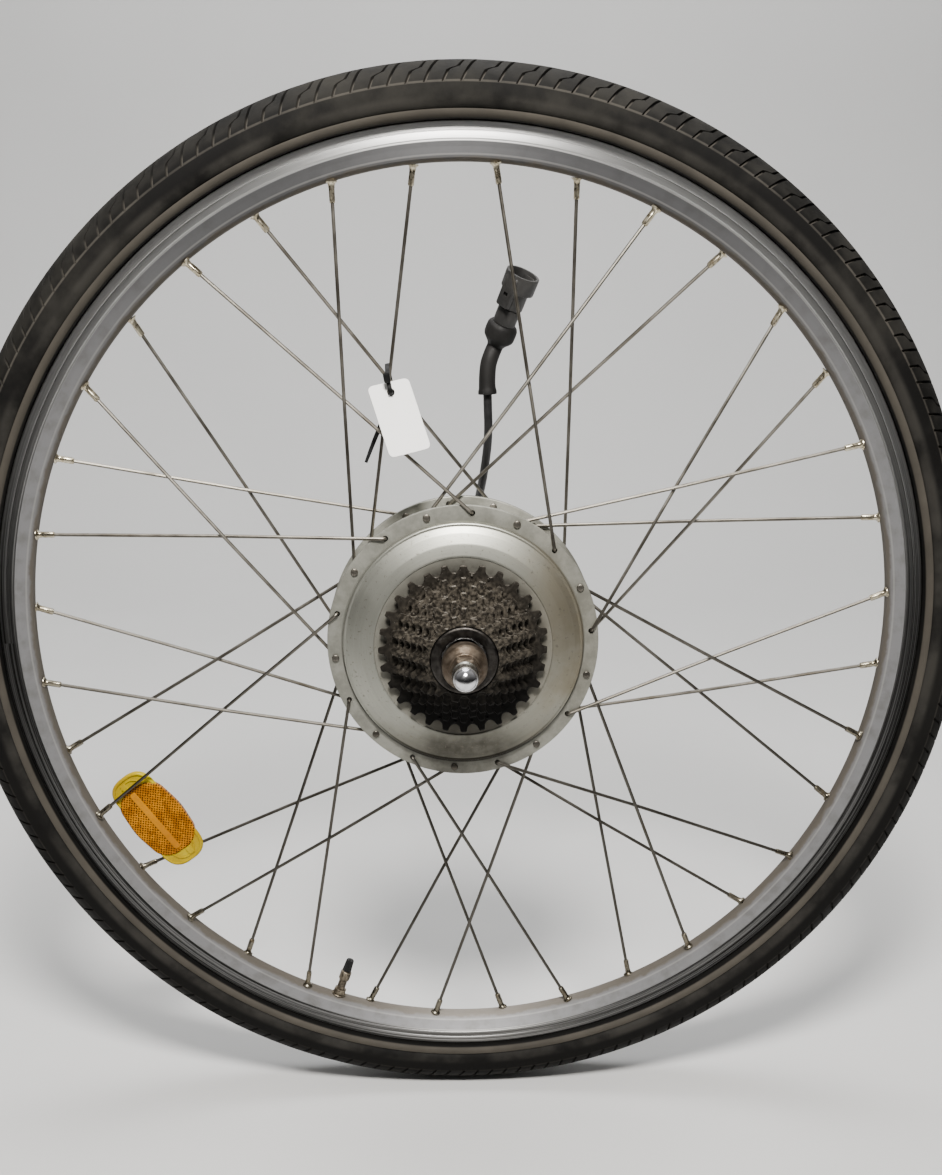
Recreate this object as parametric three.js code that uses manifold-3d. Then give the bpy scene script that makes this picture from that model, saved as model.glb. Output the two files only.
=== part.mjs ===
// A geared hub motor laced into a bicycle wheel, with tyre, freewheel sprockets and motor cable.
// Millimetres. The wheel turns about +Y, +Z is up, and the origin is the middle of the wheel.
// The drive side, with the sprockets, faces -Y. The cable leaves the axle on the +Y side.
import * as THREE from "three";
import { mergeVertices } from "three/addons/utils/BufferGeometryUtils.js";
import Module from "manifold-3d";

const wasm = await Module();
wasm.setup();

// ---- driving dimensions ----
const GAP = 0.3; // between pieces that touch on the real wheel
const WHEEL_PHASE = 85.85; // degrees from +X to the first drive-side flange hole
const RING_STEPS = 36;

const TYRE_R = 354;
const TYRE_HALF_WIDTH = 23.2;
const TUBE_MID_R = 335;
const TUBE_R = 12.6;

const RIM_R = 320.2;
const RIM_HALF_WIDTH = 12.2;
const RIM_INNER_R = 298;
const TRACK_R = 309.8; // where the brake track ends and the rim starts to narrow
const BEAD_SEAT_R = 311;

const FLANGE_R = 94;
const FLANGE_OUT_Y = 21.5;
const FLANGE_IN_Y = 18;
const BARREL_R = 85;
const SHELL_BORE_R = 81.5;
const COVER_R = 83;
const FACE_R = 62;
const FACE_Y = 32;

const HOLE_CIRCLE_R = 89;
const HOLE_R = 1.9;
const HOLES_PER_FLANGE = 18;
const WIRE_R = 1.3; // five-sided, with the section of a round 2.3 mm wire
const LACING_STEP = 40; // degrees a spoke gains between flange and rim
const CROSSING_AT = 0.46; // where a spoke meets its outer crossing, as a part of its length
const NIPPLE_END_R = 296;
const NIPPLE_LENGTH = 12;
const NIPPLE_R = 2;
const HEAD_R = 2.1;
const HEAD_CLEARANCE = 2.6; // from a flange's face to the end of a spoke's head
const NIPPLE_SIDE_Y = 3; // the nipples stand this far off the middle of the rim
const CROSSING_Y = 12;

const AXLE_R = 6;
const AXLE_MID_R = 7.2;
const DROPOUT_Y = 68; // half of the width between the frame's dropouts
const DROPOUT_GAP = 6;

const SUN_TEETH = 12;
const PLANET_TEETH = 18;
const RING_TEETH = 48;
const GEAR_MODULE = 2;
const PLANET_COUNT = 3;
const PLANET_ORBIT_R = (GEAR_MODULE * (SUN_TEETH + PLANET_TEETH)) / 2;

const COG_TEETH = [28, 24, 22, 20, 18, 16, 14];
const FIRST_COG_Y = -36.5;
const COG_STEP_Y = 4.8;
const COG_HALF_THICKNESS = 0.9;
const CHAIN_PITCH = 12.7;
const ROLLER_R = 3.9;
const TOOTH_HEIGHT = 1.6; // above the circle the chain's rollers sit on
const TOOTH_SHARE = 0.12; // of a pitch, from a tooth's middle to its corner
const SMALL_COGS = 2; // the last ones sit on the thinner end of the freewheel

const CABLE_R = 3;

const radians = THREE.MathUtils.degToRad;
const group = new THREE.Group();

// ---- materials ----
function material(color, roughness, metalness) {
  return new THREE.MeshStandardMaterial({ color, roughness, metalness });
}
const looks = {
  rubber: material(0x2b2a29, 0.85, 0),
  butyl: material(0x1c1c1d, 0.7, 0),
  rim: material(0xb4b6ba, 0.35, 0.9),
  spoke: material(0x9c958b, 0.35, 0.9),
  shell: material(0xb9b8b0, 0.45, 0.8),
  steel: material(0x8d8f93, 0.4, 0.9),
  cog: material(0x1f1b19, 0.5, 0.7),
  rust: material(0x8a6b52, 0.6, 0.6),
  chrome: material(0xd8d8dc, 0.12, 1),
  copper: material(0xb06a3c, 0.4, 0.8),
  lamination: material(0x5f6166, 0.5, 0.7),
  magnet: material(0x44464b, 0.4, 0.6),
  nylon: material(0xe6e2d6, 0.5, 0),
  cable: material(0x161617, 0.6, 0),
  boot: material(0x242425, 0.7, 0),
  amber: material(0xe08a12, 0.25, 0),
  card: material(0xf2efe6, 0.8, 0),
  tie: material(0x101010, 0.5, 0),
  brass: material(0x8c7350, 0.5, 0.6),
};

// ---- solids ----
function solid(geometry) {
  const bare = geometry.clone();
  bare.deleteAttribute("normal");
  bare.deleteAttribute("uv");
  const merged = mergeVertices(bare, 1e-4);
  return new wasm.Manifold(
    new wasm.Mesh({
      numProp: 3,
      vertProperties: merged.attributes.position.array,
      triVerts: new Uint32Array(merged.index.array),
    }),
  );
}

function geometryOf(manifold) {
  const mesh = manifold.getMesh();
  const geometry = new THREE.BufferGeometry();
  geometry.setAttribute("position", new THREE.BufferAttribute(mesh.vertProperties, 3));
  geometry.setIndex(new THREE.BufferAttribute(mesh.triVerts, 1));
  geometry.computeVertexNormals();
  return geometry;
}

function joined(...geometries) {
  const parts = geometries.map(solid);
  return geometryOf(parts.reduce((sum, part) => sum.add(part)));
}

function cut(geometry, ...tools) {
  return geometryOf(tools.map(solid).reduce((rest, tool) => rest.subtract(tool), solid(geometry)));
}

function node(name, geometry, look) {
  const mesh = new THREE.Mesh(geometry, looks[look]);
  mesh.name = name;
  group.add(mesh);
  return mesh;
}

// A ring or disc about the Y axis. The outline is a list of [radius, y].
function turned(outline, steps = RING_STEPS, phase = 5) {
  let area = 0;
  outline.forEach(([r, y], i) => {
    const [nextR, nextY] = outline[(i + 1) % outline.length];
    area += r * nextY - nextR * y;
  });
  const points = outline.map(([r, y]) => new THREE.Vector2(r, y));
  if (area < 0) points.reverse();
  points.push(points[0].clone());
  const geometry = new THREE.LatheGeometry(points, steps);
  return geometry.rotateY(-radians(WHEEL_PHASE + phase));
}

// A plate from y = low to y = high. The shape is drawn in X and Z.
function plate(shape, low, high) {
  const depth = high - low;
  const geometry = new THREE.ExtrudeGeometry(shape, { depth, bevelEnabled: false, curveSegments: 10 });
  return geometry.rotateX(Math.PI / 2).translate(0, high, 0);
}

function sleeve(inner, outer, low, high, steps = 24) {
  const outline = [[inner, low], [outer, low], [outer, high], [inner, high]];
  return turned(outline, steps);
}

function polar(r, y, degrees) {
  const a = radians(degrees);
  return new THREE.Vector3(r * Math.cos(a), y, r * Math.sin(a));
}

// A straight prism from one point to another.
function rod(from, to, radius, sides, endRadius = radius) {
  const along = new THREE.Vector3().subVectors(to, from);
  const geometry = new THREE.CylinderGeometry(endRadius, radius, along.length(), sides);
  geometry.translate(0, along.length() / 2, 0);
  const turn = new THREE.Quaternion().setFromUnitVectors(new THREE.Vector3(0, 1, 0), along.normalize());
  return geometry.applyQuaternion(turn).translate(from.x, from.y, from.z);
}

function closedShape(points) {
  return new THREE.Shape(points.map(([x, z]) => new THREE.Vector2(x, z)));
}

function circlePoints(r, steps, phase = 0) {
  return Array.from({ length: steps }, (_, i) => {
    const a = (2 * Math.PI * i) / steps + phase;
    return [r * Math.cos(a), r * Math.sin(a)];
  });
}

function bored(shape, r, steps) {
  shape.holes.push(new THREE.Path(circlePoints(r, steps).map(([x, z]) => new THREE.Vector2(x, z))));
  return shape;
}

// ---- tyre, tube, rim and valve ----
function mirrored(half) {
  const other = half.filter(([, y]) => y !== 0).map(([r, y]) => [r, -y]);
  return [...half, ...other.reverse()];
}

function tyre() {
  const w = TYRE_HALF_WIDTH;
  const outer = [[311.8, -7.4], [311.8, -9.4], [321.2, -9.4], [321.6, -14], [326, -19.5], [335, -w],
    [346.5, -19], [TYRE_R, -6]];
  const inner = [[323.6, -7.8], [328.6, -16.4], [335, -19.8], [346, -13.5], [350, 0]];
  const outside = mirrored(outer);
  const inside = mirrored(inner).reverse();
  node("tyre", turned([...outside, ...inside]), "rubber");
}

function innerTube() {
  const wall = 1.3;
  const slitAngle = 8;
  const arc = [];
  const steps = 6;
  for (let i = 0; i <= steps; i++) arc.push(slitAngle + ((360 - 2 * slitAngle) * i) / steps);
  const at = (r, degrees) => {
    const a = radians(degrees - 180);
    return [TUBE_MID_R + r * Math.cos(a), r * Math.sin(a)];
  };
  const outline = [...arc.map((d) => at(TUBE_R, d)), ...arc.reverse().map((d) => at(TUBE_R - wall, d))];
  node("inner_tube", turned(outline), "butyl");
}

const VALVE_ANGLE = WHEEL_PHASE - 195;
const VALVE_R = 3;
const VALVE_HOLE_R = 3.5;
const VALVE_TIP_R = 277.5; // how far the bare end of the stem is from the wheel's centre
const VALVE_COLLAR_R = 4.4;
const VALVE_NUT_WIDTH = 9.5;
const CAP_LENGTH = 11;

function rim() {
  const w = RIM_HALF_WIDTH;
  const outline = mirrored([[BEAD_SEAT_R, -9.7], [RIM_R, -9.7], [RIM_R, -w], [TRACK_R, -w],
    [RIM_INNER_R, -5.5]]);
  const hollow = mirrored([[308.8, -9.2], [300.2, -5]]);
  const low = polar(RIM_INNER_R - 5, 0, VALVE_ANGLE);
  const hole = rod(low, polar(BEAD_SEAT_R + 2, 0, VALVE_ANGLE), VALVE_HOLE_R, 10);
  node("rim", cut(turned(outline), turned(hollow), hole), "rim");
}

// A stem with a collar under its cap and a hexagon nut against the rim.
function valve() {
  const at = (r) => polar(r, 0, VALVE_ANGLE);
  const foot = TUBE_MID_R - TUBE_R - 2 * GAP;
  const collarEnd = VALVE_TIP_R + 8;
  const nutEnd = RIM_INNER_R - 1.6; // clear of the rim's flat-sided inner face
  node("valve_stem", joined(
    rod(at(VALVE_TIP_R), at(foot), VALVE_R, 10),
    rod(at(VALVE_TIP_R), at(collarEnd), VALVE_COLLAR_R, 12),
    rod(at(nutEnd - 5), at(nutEnd), VALVE_NUT_WIDTH / Math.sqrt(3), 6),
  ), "brass");
  node("valve_cap", rod(at(VALVE_TIP_R - CAP_LENGTH), at(VALVE_TIP_R - GAP), 3, 10, 3.6), "tie");
}

// ---- hub shell and covers ----
// One hole through a flange for each spoke; the shell is drilled with all of them at once.
function flangeHoles(side, phase) {
  const holes = [];
  for (let i = 0; i < HOLES_PER_FLANGE; i++) {
    const angle = WHEEL_PHASE + phase + (i * 360) / HOLES_PER_FLANGE;
    const low = polar(HOLE_CIRCLE_R, side * (FLANGE_IN_Y - 2), angle);
    const high = polar(HOLE_CIRCLE_R, side * (FLANGE_OUT_Y + 2), angle);
    holes.push(rod(low, high, HOLE_R, 5));
  }
  return holes;
}

const BEARING_SEAT_R = 16;
const BEARING_Y = 27.5;

function hubShell() {
  const outside = [[SHELL_BORE_R, -FLANGE_OUT_Y], [FLANGE_R, -FLANGE_OUT_Y], [FLANGE_R, -FLANGE_IN_Y],
    [BARREL_R, -FLANGE_IN_Y], [BARREL_R, FLANGE_IN_Y], [FLANGE_R, FLANGE_IN_Y], [FLANGE_R, FLANGE_OUT_Y],
    [COVER_R, FLANGE_OUT_Y], [COVER_R, 24.5], [FACE_R, FACE_Y], [20, FACE_Y], [20, 35.5]];
  const inside = [[BEARING_SEAT_R, 35.5], [BEARING_SEAT_R, BEARING_Y], [60, BEARING_Y], [SHELL_BORE_R, 19]];
  const tools = [...flangeHoles(-1, 0), ...flangeHoles(1, 10)];
  node("hub_shell", cut(turned([...outside, ...inside]), ...tools), "shell");
}

const BOSS_R = 17;
const BOSS_END_Y = -45;
const RING_SEAT_R = 54.3;
const COVER_FLOOR_Y = -28.3;

function driveCover() {
  const seat = -(FLANGE_OUT_Y + GAP);
  const outline = [[SHELL_BORE_R - GAP, -17], [SHELL_BORE_R - GAP, seat], [COVER_R, seat], [COVER_R, -25],
    [77, -29], [FACE_R, -FACE_Y], [BOSS_R, -FACE_Y], [BOSS_R, BOSS_END_Y], [14.3, BOSS_END_Y],
    [14.3, COVER_FLOOR_Y], [RING_SEAT_R, COVER_FLOOR_Y], [RING_SEAT_R, -14], [58, -14], [58, COVER_FLOOR_Y],
    [78, -22], [78, -17]];
  node("drive_cover", turned(outline), "shell");
}

function bearings() {
  node("drive_bearing", sleeve(AXLE_R + 0.4, 14, -36.2, -28.6, 20), "steel");
  node("left_bearing", sleeve(AXLE_MID_R + 0.4, 15.6, 27.8, 34.8, 20), "steel");
}

// ---- spokes ----
// Each wire is turned straight as a pin with a head and a nipple, then bent to its route.
function bentPin(route, profile, sides) {
  const lengths = route.slice(1).map((point, i) => point.distanceTo(route[i]));
  const total = lengths.reduce((sum, length) => sum + length);
  const points = [[0, 0], ...profile(lengths, total), [0, total]];
  const geometry = new THREE.LatheGeometry(points.map(([r, s]) => new THREE.Vector2(r, s)), sides);
  const position = geometry.getAttribute("position");
  const across = new THREE.Vector3(-route.at(-1).z, 0, route.at(-1).x).normalize();
  for (let i = 0; i < position.count; i++) {
    let leg = 0;
    let s = position.getY(i);
    while (leg < lengths.length - 1 && s > lengths[leg] + 1e-3) s -= lengths[leg++];
    const along = new THREE.Vector3().subVectors(route[leg + 1], route[leg]).normalize();
    const u = new THREE.Vector3().crossVectors(along, across).normalize();
    const v = new THREE.Vector3().crossVectors(u, along);
    const at = route[leg].clone().addScaledVector(along, s);
    at.addScaledVector(u, position.getX(i)).addScaledVector(v, position.getZ(i));
    position.setXYZ(i, at.x, at.y, at.z);
  }
  return geometry;
}

// From its head, through the flange, past the outer crossing and on to its nipple.
// outward is 1 when the bend shows outside the flange, and -1 when the head does.
function spoke(side, hubAngle, lean, outward) {
  const bendClearance = outward > 0 ? HEAD_CLEARANCE : 1.7;
  const headY = side * (outward > 0 ? FLANGE_IN_Y - HEAD_CLEARANCE : FLANGE_OUT_Y + HEAD_CLEARANCE);
  const bendY = side * (outward > 0 ? FLANGE_OUT_Y + bendClearance : FLANGE_IN_Y - bendClearance);
  const bend = polar(HOLE_CIRCLE_R, bendY, hubAngle);
  const end = polar(NIPPLE_END_R, side * NIPPLE_SIDE_Y, hubAngle + lean * LACING_STEP);
  const touch = side * (CROSSING_Y - outward * WIRE_R * 0.8);
  const crossing = new THREE.Vector3().lerpVectors(bend, end, CROSSING_AT).setY(touch);
  const route = [polar(HOLE_CIRCLE_R, headY, hubAngle), bend, crossing, end];
  const outline = ([stub, inner], total) => [[HEAD_R, 0], [WIRE_R, 1.4], [WIRE_R, stub],
    [WIRE_R, stub + inner], [WIRE_R, total - NIPPLE_LENGTH], [NIPPLE_R, total - NIPPLE_LENGTH + 1],
    [NIPPLE_R, total]];
  return bentPin(route, outline, 5);
}

// Each spoke touches its partner where they cross for the second time, and the two make one piece.
function crossedSpokes(side, name, phase) {
  for (let i = 0; i < HOLES_PER_FLANGE / 2; i++) {
    const angle = WHEEL_PHASE + phase - i * LACING_STEP;
    const bent = spoke(side, angle, 1, 1);
    const headed = spoke(side, angle + 60, -1, -1);
    node(`crossed_spokes_${name}_${i + 1}`, joined(bent, headed), "spoke");
  }
}

// ---- freewheel and sprockets ----
function cogShape(teeth) {
  const pitchR = CHAIN_PITCH / (2 * Math.sin(Math.PI / teeth));
  const pitch = 360 / teeth;
  const points = [];
  for (let i = 0; i < teeth; i++) {
    points.push([pitchR - ROLLER_R, (i - 0.5) * pitch]);
    points.push([pitchR + TOOTH_HEIGHT, (i - TOOTH_SHARE) * pitch]);
    points.push([pitchR + TOOTH_HEIGHT, (i + TOOTH_SHARE) * pitch]);
  }
  return closedShape(points.map(([r, d]) => [r * Math.cos(radians(d)), r * Math.sin(radians(d))]));
}

const FREEWHEEL_R = 26;
const FREEWHEEL_END_R = 22;

function sprockets() {
  COG_TEETH.forEach((teeth, i) => {
    const small = i >= COG_TEETH.length - SMALL_COGS;
    const bore = (small ? FREEWHEEL_END_R : FREEWHEEL_R) + 1.2;
    const y = FIRST_COG_Y - i * COG_STEP_Y;
    const shape = bored(cogShape(teeth), bore, 12);
    node(`cog_${teeth}`, plate(shape, y - COG_HALF_THICKNESS, y + COG_HALF_THICKNESS), "cog");
  });
}

function freewheel() {
  const thread = BOSS_R + 0.8;
  const core = [[thread, -32.3], [20, -32.3], [20, -60], [13.5, -60], [13.5, -56], [thread, -56]];
  node("freewheel_core", turned(core, 16), "steel");
  const inner = 20.5;
  const stepY = -59;
  const endY = -66.6;
  const body = [[inner, -33.2], [FREEWHEEL_R, -33.2], [FREEWHEEL_R, stepY], [FREEWHEEL_END_R, stepY],
    [FREEWHEEL_END_R, endY], [14.5, endY], [14.5, -60.6], [inner, -60.6]];
  node("freewheel_body", turned(body, 16), "cog");
}

// ---- motor: stator, rotor and planetary gear ----
const STATOR_R = 62.6;
const STATOR_LOW = -1;
const STATOR_HIGH = 11;
const STATOR_TEETH = 12;
const TOOTH_WIDTH = 8;

function statorStar(grow) {
  const half = TOOTH_WIDTH / 2 + grow;
  const hub = 32 + grow;
  const points = [];
  for (let i = 0; i < STATOR_TEETH; i++) {
    const a = radians((i * 360) / STATOR_TEETH);
    const foot = Math.sqrt(hub * hub - half * half);
    for (const [r, s] of [[foot, -half], [STATOR_R, -half], [STATOR_R, half], [foot, half]]) {
      points.push([r * Math.cos(a) - s * Math.sin(a), r * Math.sin(a) + s * Math.cos(a)]);
    }
  }
  return closedShape(points);
}

function stator() {
  const star = bored(statorStar(0), AXLE_MID_R + GAP, 16);
  node("stator_core", plate(star, STATOR_LOW, STATOR_HIGH), "lamination");
  const coil = sleeve(38, 56, -3.5, 14, 16);
  const teeth = plate(statorStar(GAP), STATOR_LOW - GAP, STATOR_HIGH + GAP);
  node("stator_windings", cut(coil, teeth), "copper");
}

function rotor() {
  const cup = [[AXLE_MID_R + 0.4, -12.2], [14, -12.2], [14, -10], [70, -10], [70, 13], [67, 13],
    [67, -7], [12, -7], [12, -5], [AXLE_MID_R + 0.4, -5]];
  node("rotor_cup", turned(cup, 24), "steel");
  node("rotor_magnets", sleeve(64.2, 66.4, -5, 12, 24), "magnet");
}

// Straight-sided teeth with backlash. side is 1 for teeth that point out and -1 for a ring gear.
function gearShape(teeth, phase, side = 1) {
  const pitchR = (GEAR_MODULE * teeth) / 2;
  const tip = pitchR + side * 0.8 * GEAR_MODULE;
  const root = pitchR - side * 1.15 * GEAR_MODULE;
  const pitch = 360 / teeth;
  const points = [];
  for (let i = 0; i < teeth; i++) {
    for (const [r, part] of [[root, -0.31], [tip, -0.1], [tip, 0.1], [root, 0.31]]) {
      const a = radians(phase + (i + part) * pitch);
      points.push([r * Math.cos(a), r * Math.sin(a)]);
    }
  }
  return points;
}

const GEAR_LOW = -20.7;
const GEAR_HIGH = -13.3;
const SUN_LOW = -21.3;
const SUN_HIGH = -12.5;

function planetaryGear() {
  const sun = bored(closedShape(gearShape(SUN_TEETH, 0)), AXLE_MID_R + 0.4, 16);
  node("sun_gear", plate(sun, SUN_LOW, SUN_HIGH), "steel");
  const ring = closedShape(circlePoints(RING_SEAT_R - GAP - 0.2, RING_STEPS, radians(WHEEL_PHASE + 5)));
  const inner = gearShape(RING_TEETH, 0, -1).map(([x, z]) => new THREE.Vector2(x, z));
  ring.holes.push(new THREE.Path(inner));
  node("ring_gear", plate(ring, GEAR_LOW - 0.3, GEAR_HIGH + 0.3), "steel");
  for (let i = 0; i < PLANET_COUNT; i++) {
    const phase = 180 / PLANET_TEETH;
    const shape = bored(closedShape(gearShape(PLANET_TEETH, phase)), 4.4, 12);
    const gear = plate(shape, GEAR_LOW, GEAR_HIGH).translate(PLANET_ORBIT_R, 0, 0);
    node(`planet_gear_${i + 1}`, gear.rotateY(-radians((i * 360) / PLANET_COUNT)), "nylon");
  }
}

function planetCarrier() {
  const disc = sleeve(13, 36, -25.2, -22, 24);
  const pins = [];
  for (let i = 0; i < PLANET_COUNT; i++) {
    const angle = (i * 360) / PLANET_COUNT;
    pins.push(rod(polar(PLANET_ORBIT_R, -23, angle), polar(PLANET_ORBIT_R, GEAR_HIGH + 0.4, angle), 4, 10));
  }
  node("planet_carrier", joined(disc, ...pins), "steel");
  node("overrunning_clutch", sleeve(AXLE_MID_R + GAP, 12.6, -25.4, -21.9, 16), "steel");
}

// ---- axle and its fittings ----
const DRIVE_END_Y = -112;
const LEFT_END_Y = 96;
const CABLE_BORE_R = 3.7;
const CABLE_START_Y = 80;

function axle() {
  const outline = [[0, DRIVE_END_Y], [AXLE_R - 1, DRIVE_END_Y], [AXLE_R, DRIVE_END_Y + 1], [AXLE_R, -27],
    [AXLE_MID_R, -27], [AXLE_MID_R, LEFT_END_Y - 1], [AXLE_MID_R - 1, LEFT_END_Y], [CABLE_BORE_R, LEFT_END_Y],
    [CABLE_BORE_R, CABLE_START_Y - GAP], [0, CABLE_START_Y - GAP]];
  const flats = [];
  for (const [low, high] of [[DRIVE_END_Y - 1, -DROPOUT_Y], [DROPOUT_Y, LEFT_END_Y + 1]]) {
    for (const side of [-1, 1]) {
      const box = new THREE.BoxGeometry(20, high - low, 4);
      flats.push(box.translate(0, (low + high) / 2, side * 7));
    }
  }
  node("axle", cut(turned(outline, 12), ...flats), "steel");
}

function hexagon(acrossFlats) {
  return closedShape(circlePoints(acrossFlats / Math.sqrt(3), 6, Math.PI / 6));
}

const NUT_FACE_Y = DROPOUT_Y + DROPOUT_GAP;

function axleFittings() {
  const bore = AXLE_R + GAP;
  node("drive_locknut", sleeve(bore, 11.5, -DROPOUT_Y, -36.6, 20), "steel");
  node("left_locknut", sleeve(AXLE_MID_R + GAP, 12, 35.2, DROPOUT_Y, 20), "steel");
  const flange = [[bore, -NUT_FACE_Y], [15.2, -NUT_FACE_Y], [15.2, -84], [14.2, -86.2], [10.5, -88.5],
    [bore, -88.5]];
  const hex = plate(bored(hexagon(18), bore, 16), -100, -88);
  node("drive_axle_nut", joined(turned(flange, 16), hex), "rust");
  const dome = [[bore, -100.3], [8.6, -100.3], [8.6, -113], [7.8, -116.5], [5.4, -119.3], [0, -120.5],
    [0, -113], [bore, -113]];
  node("axle_dome_cap", turned(dome, 16), "chrome");
  const left = AXLE_MID_R + GAP;
  const washer = bored(closedShape([...circlePoints(14.5, 16)]), left, 16);
  const tab = new THREE.BoxGeometry(8, 2.4, 8).translate(0, NUT_FACE_Y + 1.2, -17);
  node("torque_washer", joined(plate(washer, NUT_FACE_Y, NUT_FACE_Y + 2.4), tab), "steel");
  const nutLow = NUT_FACE_Y + 2.4 + GAP;
  node("left_axle_nut", plate(bored(hexagon(21), left, 16), nutLow, nutLow + 10), "steel");
}

// ---- motor cable ----
const CABLE_ROUTE = [
  [0, 80, 0], [0, 97, 0], [0.3, 107, 2], [1, 116, 8], [2, 121, 17], [3.4, 121, 28], [5, 117, 39],
  [7, 110, 50], [8.8, 101, 60], [10.6, 91, 69], [12.4, 80, 79], [14.2, 71, 89], [16, 63.5, 100],
  [17.6, 57.5, 112], [18.8, 53.5, 124], [19.2, 51.2, 136], [18.8, 50.2, 147], [18.5, 50, 157],
];
const BOOT_FOOT = new THREE.Vector3(18.5, 50, 157.3);
const BULGE = new THREE.Vector3(27.5, 50, 198);
const CONNECTOR_TILT = 21.5; // degrees from upright, towards +X
const CONNECTOR_NOD = 16; // degrees its mouth leans towards the drive side
const CONNECTOR_END = 40; // from the middle of the bulge to the mouth

function swept(points, radius, sides, steps) {
  const route = new THREE.CatmullRomCurve3(points, false, "centripetal");
  const section = closedShape(circlePoints(radius, sides));
  return new THREE.ExtrudeGeometry(section, { steps, extrudePath: route, bevelEnabled: false });
}

// Turns an outline about the connector's own axis. Heights count from the middle of the bulge.
function onConnector(outline, steps) {
  const geometry = turned(outline, steps, 0);
  geometry.rotateX(Math.PI / 2 + radians(CONNECTOR_NOD)).rotateY(radians(CONNECTOR_TILT));
  return geometry.translate(BULGE.x, BULGE.y, BULGE.z);
}

function motorCable() {
  const route = CABLE_ROUTE.map(([x, y, z]) => new THREE.Vector3(x, y, z));
  node("motor_cable", swept(route, CABLE_R, 8, 22), "cable");
  const neck = [BOOT_FOOT, new THREE.Vector3(18.4, 50, 171), new THREE.Vector3(20.4, 50.4, 181),
    new THREE.Vector3(24.6, 51.5, 191.5)];
  const foot = rod(BOOT_FOOT, new THREE.Vector3(18.5, 50, 160), 6.5, 10, 6);
  const bulge = onConnector([[0, -9.5], [5.6, -9.5], [10.2, -4.6], [10.8, -3.2], [10.8, 3.4], [8.6, 5.4],
    [0, 5.4]], 12);
  node("connector_boot", joined(swept(neck, 5.4, 10, 6), foot, bulge), "boot");
  const end = CONNECTOR_END;
  const body = [[0, 5.7], [7.9, 5.7], [8.4, end - 12.2], [11.7, end - 11.2], [11.7, end], [9.7, end],
    [9.7, end - 10.4], [0, end - 10.4]];
  node("connector_body", onConnector(body, 12), "boot");
}

// ---- reflector, tag and tie ----
const REFLECTOR = new THREE.Vector3(-227, 0, -135.6);
const REFLECTOR_TURN = 52; // degrees its long side leans down from +X

function rounded(length, width, corner) {
  const x = length / 2 - corner;
  const z = width / 2 - corner;
  const points = [];
  for (const [sx, sz, start] of [[1, 1, 0], [-1, 1, 90], [-1, -1, 180], [1, -1, 270]]) {
    for (let step = 0; step <= 3; step++) {
      const a = radians(start + step * 30);
      points.push([sx * x + corner * Math.cos(a), sz * z + corner * Math.sin(a)]);
    }
  }
  return closedShape(points);
}

function reflector() {
  const wings = plate(rounded(92, 30, 14), -2.4, 2.4);
  const body = plate(rounded(54, 34, 5), -3.1, 3.3);
  const geometry = joined(wings, body).rotateY(radians(REFLECTOR_TURN));
  node("reflector", geometry.translate(REFLECTOR.x, REFLECTOR.y, REFLECTOR.z), "amber");
}

const TAG_MIDDLE = new THREE.Vector3(-41.3, -19, 149);
const TAG_ACROSS = new THREE.Vector3(26.7, 8, 5.4);
const TAG_DOWN = new THREE.Vector3(18.4, -20, -40.7);
const TAG_THICKNESS = 0.8;

function tag() {
  const width = TAG_ACROSS.length();
  const height = TAG_DOWN.length();
  const shape = rounded(width, height, 4);
  const hole = circlePoints(3.2, 8).map(([x, z]) => new THREE.Vector2(x, z + height * 0.36));
  shape.holes.push(new THREE.Path(hole));
  const card = new THREE.ExtrudeGeometry(shape, { depth: TAG_THICKNESS, bevelEnabled: false });
  card.translate(0, 0, -TAG_THICKNESS / 2);
  const x = TAG_ACROSS.clone().normalize();
  const z = new THREE.Vector3().crossVectors(x, TAG_DOWN.clone().negate()).normalize();
  const y = new THREE.Vector3().crossVectors(z, x);
  card.applyMatrix4(new THREE.Matrix4().makeBasis(x, y, z));
  node("label_tag", card.translate(TAG_MIDDLE.x, TAG_MIDDLE.y, TAG_MIDDLE.z), "card");
}

// The tie loops round a pair of crossed spokes and through the tag's hole, and its tail hangs down.
// The loop is drawn in Y and the height above the crossing, then leaned a little to pass between the wires.
const TIE_MIDDLE = new THREE.Vector3(-47.6, 0, 169.1);
const TIE_LEAN = 11;
const TIE_WIDTH = 2;

function cableTie() {
  const outline = [[-16.5, -6.2], [18, -11], [19, -10], [19, 10], [18, 11], [-8, 6.8], [-16.5, -1.5]];
  const inset = [[-15, -4.8], [17.6, -9.4], [17.6, 9.4], [-8, 5.4], [-15, -1.6]];
  const shape = closedShape(outline);
  shape.holes.push(new THREE.Path(inset.map(([y, z]) => new THREE.Vector2(y, z))));
  const loop = new THREE.ExtrudeGeometry(shape, { depth: TIE_WIDTH, bevelEnabled: false });
  const head = new THREE.BoxGeometry(4.4, 5, 4.4).translate(0, 5, -10.6);
  const toWorld = new THREE.Matrix4().makeRotationY(-radians(TIE_LEAN)).setPosition(TIE_MIDDLE);
  loop.rotateX(Math.PI / 2).rotateZ(Math.PI / 2).translate(-TIE_WIDTH / 2, 0, 0).applyMatrix4(toWorld);
  head.applyMatrix4(toWorld);
  const tail = rod(new THREE.Vector3(-46.6, 4, 158.5), new THREE.Vector3(-64.5, -4, 119), 1.5, 4);
  node("cable_tie", joined(loop, head, tail), "tie");
}

tyre();
innerTube();
rim();
valve();
hubShell();
driveCover();
bearings();
crossedSpokes(-1, "drive", 0);
crossedSpokes(1, "left", -50);
freewheel();
sprockets();
stator();
rotor();
planetaryGear();
planetCarrier();
axle();
axleFittings();
motorCable();
reflector();
tag();
cableTie();

export default group;
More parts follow.
